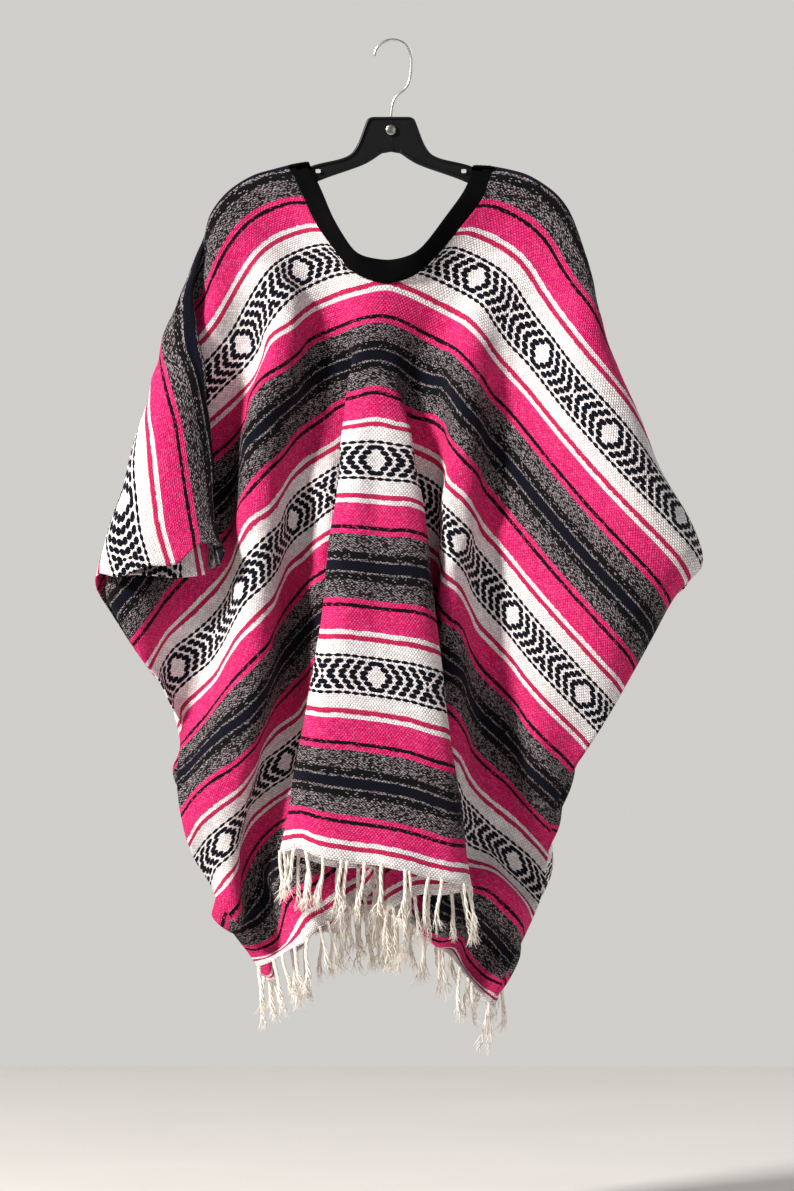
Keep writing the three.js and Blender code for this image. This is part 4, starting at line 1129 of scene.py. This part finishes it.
    def build(self) -> None:
        """Build and dress the hanger."""
        steel, pressed, plastic = POLISHED_STEEL.make(), PRESSED_STEEL.make(), MOULDED_PLASTIC.make()
        plated = PLATED_CLIP.make()
        dress(self.body(), plastic, ("hanger_body",))
        dress(self.mould_marks(), plastic)
        dress(self.hook(), steel, ("hook",))
        dress(self.rivet(), pressed, ("hub_rivet",))
        for side in ("left", "right"):
            clip = frame["nodes"][f"arm_clip_{side}"]
            clip.data.materials.clear()
            clip.data.materials.append(plated)

    def depth_beside_arm(self, point: Points, side: float, wall: float) -> float:
        """Depth at which a wall beside an arm clears it.

        Args:
            point: place in millimetres.
            side: -1 in front and 1 behind.
            wall: thickness of the wall.

        Returns:
            The depth, which is the point's own where no arm is near.
        """
        line = self.top_line()
        x = abs(point[0]) - self.past_end
        if not line[0, 0] <= x <= line[-1, 0]:
            return float(point[1])
        top = float(np.interp(x, line[:, 0], line[:, 1]))
        if not top - self.arm_depth - self.under_arm <= point[2] <= top + self.seat:
            return float(point[1])
        least = self.thickness / 2 + wall / 2 + self.clearance
        return side * max(side * float(point[1]), least)


# ---------------- the neck band


def run_length(line: Points) -> Points:
    """Distance of each point of a line from its first one, along the line."""
    return np.concatenate([[0], np.cumsum(np.linalg.norm(np.diff(line, axis=0), axis=1))])


@dataclass
class NeckBand:
    """Rib-knit binding sewn round the neck opening, in millimetres."""

    width: float = 23.0
    lap: float = 2.0  # how far it reaches over the cloth's edge
    wall: float = 3.0
    edge: float = 0.35  # half the wall at both edges
    columns: int = 12
    ridges: int = 5
    ridge: float = 0.22
    foot: float = 40.0  # half width of the rounded foot
    foot_lap: float = 1.2  # how much wider the stretch is that lies on the cloth below
    near_columns: int = 24  # fine columns of cloth that the foot can lie on
    near_length: Pair = (60.0, 300.0)

    def ring(self, cloth: FineCloth) -> tuple[Points, Points, Points]:
        """Edge of the opening.

        Args:
            cloth: the fine cloth.

        Returns:
            Places in millimetres, outward normals, and the sign of the side (-1 front, 1 back).
        """
        parts: list[tuple[Points, Points, Points]] = []
        for half, order in ((1, 1), (0, -1)):
            places, along = cloth.places[half] / MM, cloth.address[half][:, 0, 1]
            rows = np.flatnonzero(np.abs(along) <= cloth.neck_depth + 0.01)
            rows = rows if half else rows[1:-1]
            rows = rows[::order]
            down, out = np.gradient(places, axis=0)[:, 0], places[:, 1] - places[:, 0]
            normal = unit(np.cross(out, down) if half else np.cross(down, out))
            parts.append((places[rows, 0], normal[rows], -np.sign(along[rows])))
        return tuple(np.concatenate(part) for part in zip(*parts))

    @staticmethod
    def _smooth(values: Points, passes: int) -> Points:
        """Average a closed run of vectors with its neighbours.

        Args:
            values: the vectors.
            passes: how often they are averaged.

        Returns:
            The averaged vectors.
        """
        for _ in range(passes):
            values = 0.5 * values + 0.25 * (np.roll(values, 1, axis=0) + np.roll(values, -1, axis=0))
        return values

    def _round_foot(self, line: Points, side: Points, cloth: FineCloth) -> Points:
        """Round the foot of the band's outer edge, where the opening of the cloth is pointed.

        Args:
            line: the outer edge.
            side: -1 in front and 1 behind.
            cloth: the fine cloth, which the rounded foot laps over.

        Returns:
            The outer edge with round feet.
        """
        line = line.copy()
        columns = self.near_columns
        near = np.concatenate([(places / MM)[:, :columns].reshape(-1, 3) for places in cloth.places])
        along = np.concatenate([flat[:, :columns, 1].ravel() for flat in cloth.address])
        least, most = self.near_length
        for face in (-1, 1):
            own = np.flatnonzero(side == face)
            tip = own[line[own, 2].argmin()]
            skin = near[(-face * along > least) & (-face * along < most)]
            for k in own:
                away = abs(line[k, 0] - line[tip, 0])
                if away < self.foot and k != tip:
                    line[k, 2] = line[tip, 2] + (line[k, 2] - line[tip, 2]) * away / self.foot
                if away < self.foot * self.foot_lap:
                    close = np.hypot(skin[:, 0] - line[k, 0], skin[:, 2] - line[k, 2]).argsort()[:6]
                    reach = (face * skin[close, 1]).max() + self.lap
                    line[k, 1] = face * max(face * line[k, 1], reach)
        return line

    def build(self, cloth: FineCloth, hanger: Hanger) -> Object:
        """Build the band as a closed padded strip.

        Args:
            cloth: the fine cloth that it is sewn to.
            hanger: the hanger that it passes over.

        Returns:
            The band, with a UV map of its run and its width in metres.
        """
        ring, normal, side = self.ring(cloth)
        run = np.roll(ring, -1, axis=0) - np.roll(ring, 1, axis=0)
        inward = unit(np.cross(run, normal))
        flip = np.sign(((ring.mean(axis=0) - ring) * inward).sum(axis=1))
        inward = unit(self._smooth(inward * flip[:, None], 6))
        normal = unit(self._smooth(normal, 4))
        normal *= np.sign((normal[:, 1] * side).sum())
        inner = self._smooth(ring + inward * self.width, 8)
        outer = self._round_foot(ring - inward * self.lap, side, cloth)
        skins: list[Points] = []
        shares = np.linspace(0, 1, self.columns + 1)
        for lift in (1, -1):
            for share in shares[::lift]:
                crown = math.sqrt(max(1 - abs(2 * share - 1) ** 4, 0.0))
                ridge = self.ridge * math.cos(share * self.ridges * 2 * math.pi)
                half = self.edge + (self.wall / 2 - self.edge + ridge) * crown
                line = outer * (1 - share) + inner * share + normal * lift * half
                for k, point in enumerate(line):
                    if side[k]:
                        line[k, 1] = hanger.depth_beside_arm(point, side[k], self.wall / 2)
                skins.append(line)
        lofts = Lofts()
        lofts.join(skins, closed=True)
        piece = lofts.piece("neck_binding")
        face_out(piece)
        uv = piece.data.uv_layers.new(name="run")
        length = run_length(ring)
        across = np.concatenate([shares, shares[::-1]]) * self.width
        for loop in piece.data.loops:
            skin, k = divmod(loop.vertex_index, len(ring))
            uv.data[loop.index].uv = (length[k] * MM, across[skin] * MM)
        return piece


# ---------------- the fringe


@dataclass
class Fringe:
    """Warp ends of one hem, knotted into tassels, in millimetres."""

    length: float = 68.0
    shortest: float = 0.78
    spacing: float = 19.0
    stray: float = 0.42  # how far a tassel can be from its even place, in spacings
    end_gap: float = 2.0
    yarn: float = 1.05
    thickening: float = 0.12
    most_yarns: int = 4
    pitch: Pair = (24, 38)  # length of one turn of the yarns round each other
    wave: Pair = (2.0, 5.0)
    core: float = 1.3  # from a tassel's middle to its yarns
    flare: float = 5.5  # how much further apart loose ends come
    cut: Pair = (0.72, 0.88)  # where a yarn splits, as a share of the length
    splits: int = 4
    split_lean: float = 2.4
    split_length: Pair = (0.14, 0.26)
    top: float = 2.5  # how far the yarns reach up into the hem
    knot: float = 2.6
    knot_half_height: float = 3.0
    sag: float = 4.0  # pull of the weight beside the direction of the cloth
    unrest: float = 0.45
    thin: float = 0.5  # share of a tassel's lean forwards or backwards that stays
    sizes: Pair = (0.86, 1.06)
    kinds: int = 7
    seed: int = 7

    @staticmethod
    def _strand(lofts: Lofts, path: Points, radii: Points, sides: int) -> None:
        """Add a tube along a path.

        Args:
            lofts: the lofts that get the tube.
            path: the tube's middle line.
            radii: its radius at each point of the path.
            sides: number of its sides.
        """
        rings = []
        for place, direction, radius in zip(path, unit(np.gradient(path, axis=0)), radii):
            right = unit(np.cross(direction, [0.3, 1.0, 0.1]))
            rings.append(circle(place, right, np.cross(direction, right), radius, sides))
        first, last = lofts.join(rings)
        lofts.faces += [first[::-1], last]

    def tassel(self, kind: int) -> Object:
        """Build one tassel, hanging from the origin.

        Args:
            kind: which of the tassels it is.

        Returns:
            The tassel, to be copied along the hem.
        """
        chance = np.random.default_rng(self.seed + kind)
        yarns = int(chance.integers(2, self.most_yarns + 1))
        length = self.length * chance.uniform(self.shortest, 1.0)
        pitch = chance.uniform(*self.pitch)
        phase = chance.uniform(0, 2 * math.pi)
        wave = chance.uniform(*self.wave, 2)
        turn = chance.uniform(0, 2 * math.pi, 2)
        s, t = np.linspace(0, 1, 20), np.linspace(0, 1, 6)
        bend = wave * np.sin(np.outer(s, (5, 4)) + turn) * s[:, None]
        lofts = Lofts()
        for y in range(yarns):
            own = 2 * math.pi * y / yarns + phase
            loose = chance.uniform(0.5, 1.5)
            twist = own + 2 * math.pi * s * length / pitch
            apart = self.core + self.flare * loose * np.clip(s - 0.4, 0, 1) ** 1.4
            round_about = apart[:, None] * np.stack([np.cos(twist), np.sin(twist)], axis=1) + bend
            path = np.insert(round_about, 2, self.top - (length + self.top) * s, axis=1)
            cut = int(len(s) * chance.uniform(*self.cut))
            radii = self.yarn * (1 + self.thickening * np.sin(s * 23 + own))
            self._strand(lofts, path[:cut], radii[:cut], 7)
            end = path[cut - 1]
            for _ in range(self.splits):
                lean = chance.normal(0, self.split_lean, 2)
                tail = length * chance.uniform(*self.split_length)
                split = end + np.outer(t, (2 * lean[0], 2 * lean[1], -tail))
                split[:, 0] += 0.8 * np.sin(6 * t + lean[1])
                self._strand(lofts, split, self.yarn * (0.5 - 0.3 * t), 4)
        rings = []
        for turn in (math.pi * (j + 0.5) / 5 for j in range(5)):
            middle = (self.knot_half_height * math.cos(turn) - 1.0) * Z
            rings.append(circle(middle, X, Y, self.knot * math.sin(turn), 8))
        first, last = lofts.join(rings, turned=True)
        lofts.faces += [first, last[::-1]]
        return lofts.piece(f"tassel_{kind}")

    def guide(self, name: str, cloth: FineCloth, front: bool) -> Object:
        """Build the line of points that the tassels hang from.

        Args:
            name: the guide's name.
            cloth: the fine cloth.
            front: whether it is the front hem.

        Returns:
            Points with their fall as an attribute.
        """
        left, right = cloth.places
        hem, above = (
            np.vstack([left[row][::-1], right[row][1:]]) / MM for row in ((0, 2) if front else (-1, -3))
        )
        at = run_length(hem)
        count = int(at[-1] / self.spacing)
        chance = np.random.default_rng(self.seed + 40 + int(front))
        spots = (np.arange(count) + 0.5 + chance.uniform(-self.stray, self.stray, count)) / count * at[-1]
        spots[0], spots[-1] = self.end_gap, at[-1] - self.end_gap
        place, up = (
            np.stack([np.interp(spots, at, line[:, k]) for k in range(3)], axis=1) for line in (hem, above)
        )
        fall = unit(place - up) - self.sag * Z + chance.normal(0, self.unrest, place.shape)
        fall = unit(fall * [1, self.thin, 1])
        mesh = bpy.data.meshes.new(name)
        mesh.from_pydata([tuple(p * MM) for p in place], [], [])
        fall_data = mesh.attributes.new("fall", "FLOAT_VECTOR", "POINT")
        fall_data.data.foreach_set("vector", fall.astype(np.float32).ravel())
        return put_in_scene(name, mesh)

    def tree(self, tassels: list[Object], material: Material) -> Tree:
        """Build the tree that hangs a tassel from each point.

        Args:
            tassels: the kinds of tassel.
            material: their material.

        Returns:
            The tree, with the size change and the seed as named inputs.
        """
        tree = bpy.data.node_groups.new("hang_tassels", "GeometryNodeTree")
        face = tree.interface
        face.new_socket("Geometry", in_out="INPUT", socket_type="NodeSocketGeometry")
        values = {"Least size": self.sizes[0], "Most size": self.sizes[1], "Seed": self.seed}
        for name, value in values.items():
            kind = "NodeSocketInt" if name == "Seed" else "NodeSocketFloat"
            face.new_socket(name, in_out="INPUT", socket_type=kind).default_value = value
        face.new_socket("Geometry", in_out="OUTPUT", socket_type="NodeSocketGeometry")
        given = add(tree, "NodeGroupInput").outputs
        kinds = add(tree, "GeometryNodeGeometryToInstance")
        for tassel in reversed(tassels):
            info = add(tree, "GeometryNodeObjectInfo", {"Object": tassel})
            tree.links.new(info.outputs["Geometry"], kinds.inputs[0])
        fall = add(tree, "GeometryNodeInputNamedAttribute", {"data_type": "FLOAT_VECTOR", "Name": "fall"})
        turned = {"operation": "SCALE", "Scale": -1.0, 0: fall.outputs["Attribute"]}
        up = add(tree, "ShaderNodeVectorMath", turned)
        lean = add(tree, "FunctionNodeAlignRotationToVector", {"axis": "Z", "Vector": up.outputs[0]})
        turn, size, pick = (
            add(tree, "FunctionNodeRandomValue", {"data_type": kind, **limits, "Seed": given["Seed"]})
            for kind, limits in (
                ("FLOAT", {2: 0.0, 3: 2 * math.pi}),
                ("FLOAT", {2: given["Least size"], 3: given["Most size"]}),
                ("INT", {4: 0, 5: len(tassels) - 1}),
            )
        )
        spin = add(tree, "FunctionNodeAxisAngleToRotation", {"Axis": (0, 0, 1), "Angle": turn.outputs[1]})
        both = {"rotation_space": "LOCAL", 0: lean.outputs[0], 1: spin.outputs[0]}
        whole = add(tree, "FunctionNodeRotateRotation", both)
        hang = {
            "Pick Instance": True,
            "Points": given["Geometry"],
            "Instance": kinds.outputs[0],
            "Instance Index": pick.outputs[2],
            "Rotation": whole.outputs[0],
            "Scale": size.outputs[1],
        }
        hung = add(tree, "GeometryNodeInstanceOnPoints", hang)
        real = add(tree, "GeometryNodeRealizeInstances", {0: hung.outputs[0]})
        done = add(tree, "GeometryNodeSetMaterial", {"Material": material, 0: real.outputs[0]})
        add(tree, "NodeGroupOutput", {0: done.outputs[0]})
        return tree

    def build(self, cloth: FineCloth, material: Material) -> dict[str, Object]:
        """Build both fringes.

        Args:
            cloth: the fine cloth.
            material: the yarn's material.

        Returns:
            The front and the back fringe.
        """
        tassels = [self.tassel(kind) for kind in range(self.kinds)]
        tree = self.tree(tassels, material)
        seed_key = next(i.identifier for i in tree.interface.items_tree if i.name == "Seed")
        made = {}
        for index, side in enumerate(("front", "back")):
            guide = self.guide(f"{side}_hem_line", cloth, side == "front")
            hang = guide.modifiers.new("hang", "NODES")
            hang.node_group = tree
            hang[seed_key] = self.seed + index
            graph = bpy.context.evaluated_depsgraph_get()
            mesh = bpy.data.meshes.new_from_object(guide.evaluated_get(graph))
            mesh.name = f"{side}_tassels"
            if "fall" in mesh.attributes:
                mesh.attributes.remove(mesh.attributes["fall"])
            bpy.data.objects.remove(guide)
            made[side] = put_in_scene(f"{side}_tassels", mesh)
        for tassel in tassels:
            bpy.data.objects.remove(tassel)
        return made


# ---------------- studio


@dataclass
class Studio:
    """Plain pale floor, soft light and the camera, in metres."""

    middle: Pair = (0.0073, -0.671)
    distance: float = 6.0
    view_height: float = 1.44111  # what the camera sees from bottom to top, at the hanger
    floor_z: float = -1.45
    floor_half: float = 2.2
    aim: tuple[float, float, float] = (0, 0, -0.6)

    def camera(self) -> None:
        """Place the camera straight in front."""
        data = bpy.data.cameras.new("camera")
        data.sensor_width = 36.0
        data.lens = data.sensor_width * self.distance / self.view_height
        camera = put_in_scene("camera", data)
        camera.location = (self.middle[0], -self.distance, self.middle[1])
        camera.rotation_euler = (math.pi / 2, 0, 0)
        bpy.context.scene.camera = camera

    def light(
        self, name: str, place: tuple[float, float, float], size: float, power: float, colour: str
    ) -> None:
        """Add a soft area light that faces the cloth.

        Args:
            name: the light's name.
            place: where it stands.
            size: its side.
            power: its power in watts.
            colour: its sRGB colour.
        """
        data = bpy.data.lights.new(name, "AREA")
        data.size = size
        data.energy = power
        data.color = linear(colour)[:3]
        lamp = put_in_scene(name, data)
        lamp.location = place
        lamp.rotation_euler = (Vector(self.aim) - Vector(place)).to_track_quat("-Z", "Y").to_euler()

    def build(self) -> None:
        """Build the studio."""
        corners = np.array([(-1, -1), (1, -1), (1, 1), (-1, 1)]) * self.floor_half
        floor = mesh_piece("floor", np.insert(corners, 2, self.floor_z, axis=1), [(0, 1, 2, 3)])
        floor.data.materials.append(PALE_PAINT.make())
        world = bpy.data.worlds.new("studio")
        world.use_nodes = True
        tree = world.node_tree
        ground = tree.nodes["Background"]
        ground.inputs[0].default_value = linear("#e6e4e0")
        way = add(tree, "ShaderNodeTexCoord")
        split = add(tree, "ShaderNodeSeparateXYZ", {0: way.outputs["Generated"]})
        # From a direction's y of -0.2 to 0.7 the strength grows from 0.11 to 0.8.
        strength = add(tree, "ShaderNodeMapRange", {1: -0.2, 2: 0.7, 3: 0.11, 4: 0.8, 0: split.outputs[1]})
        tree.links.new(strength.outputs[0], ground.inputs[1])
        bpy.context.scene.world = world
        self.light("key", place=(-3.6, -2.7, 1.9), size=0.7, power=432, colour="#fffaf6")
        self.light("fill", place=(2.2, -4.2, 0.2), size=2.6, power=24, colour="#f0f3ff")
        self.light("rim", place=(2.4, 1.6, 1.2), size=1.4, power=26, colour="#ffffff")
        bpy.context.scene.view_settings.view_transform = "Standard"
        self.camera()


# ---------------- the whole


@dataclass
class Poncho:
    """The woven length with its band and fringes, hung over the hanger."""

    cut: FlatCut = field(default_factory=FlatCut)
    weave: WovenWool = field(default_factory=WovenWool)
    band: NeckBand = field(default_factory=NeckBand)
    fringe: Fringe = field(default_factory=Fringe)

    def build(self, hanger: Hanger) -> None:
        """Build and dress the poncho.

        Args:
            hanger: the hanger that carries it.
        """
        fine = FineCloth(FrameCloth(self.cut))
        cloth = fine.build("poncho_cloth")
        dress(cloth, self.weave.make(), ("front_panel", "back_panel"))
        band = self.band.build(fine, hanger)
        dress(band, RIB_KNIT.make(), ("neck_band",))
        yarn = COTTON_ENDS.make()
        fringes = self.fringe.build(fine, yarn)
        for side, piece in fringes.items():
            dress(piece, yarn, (f"{side}_fringe",))


def main() -> None:
    """Build the poncho, its hanger and the studio."""
    logging.basicConfig(level=logging.INFO, format="%(name)s: %(message)s")
    hanger = Hanger()
    hanger.build()
    Poncho().build(hanger)
    Studio().build()


if __name__ == "__main__":
    main()
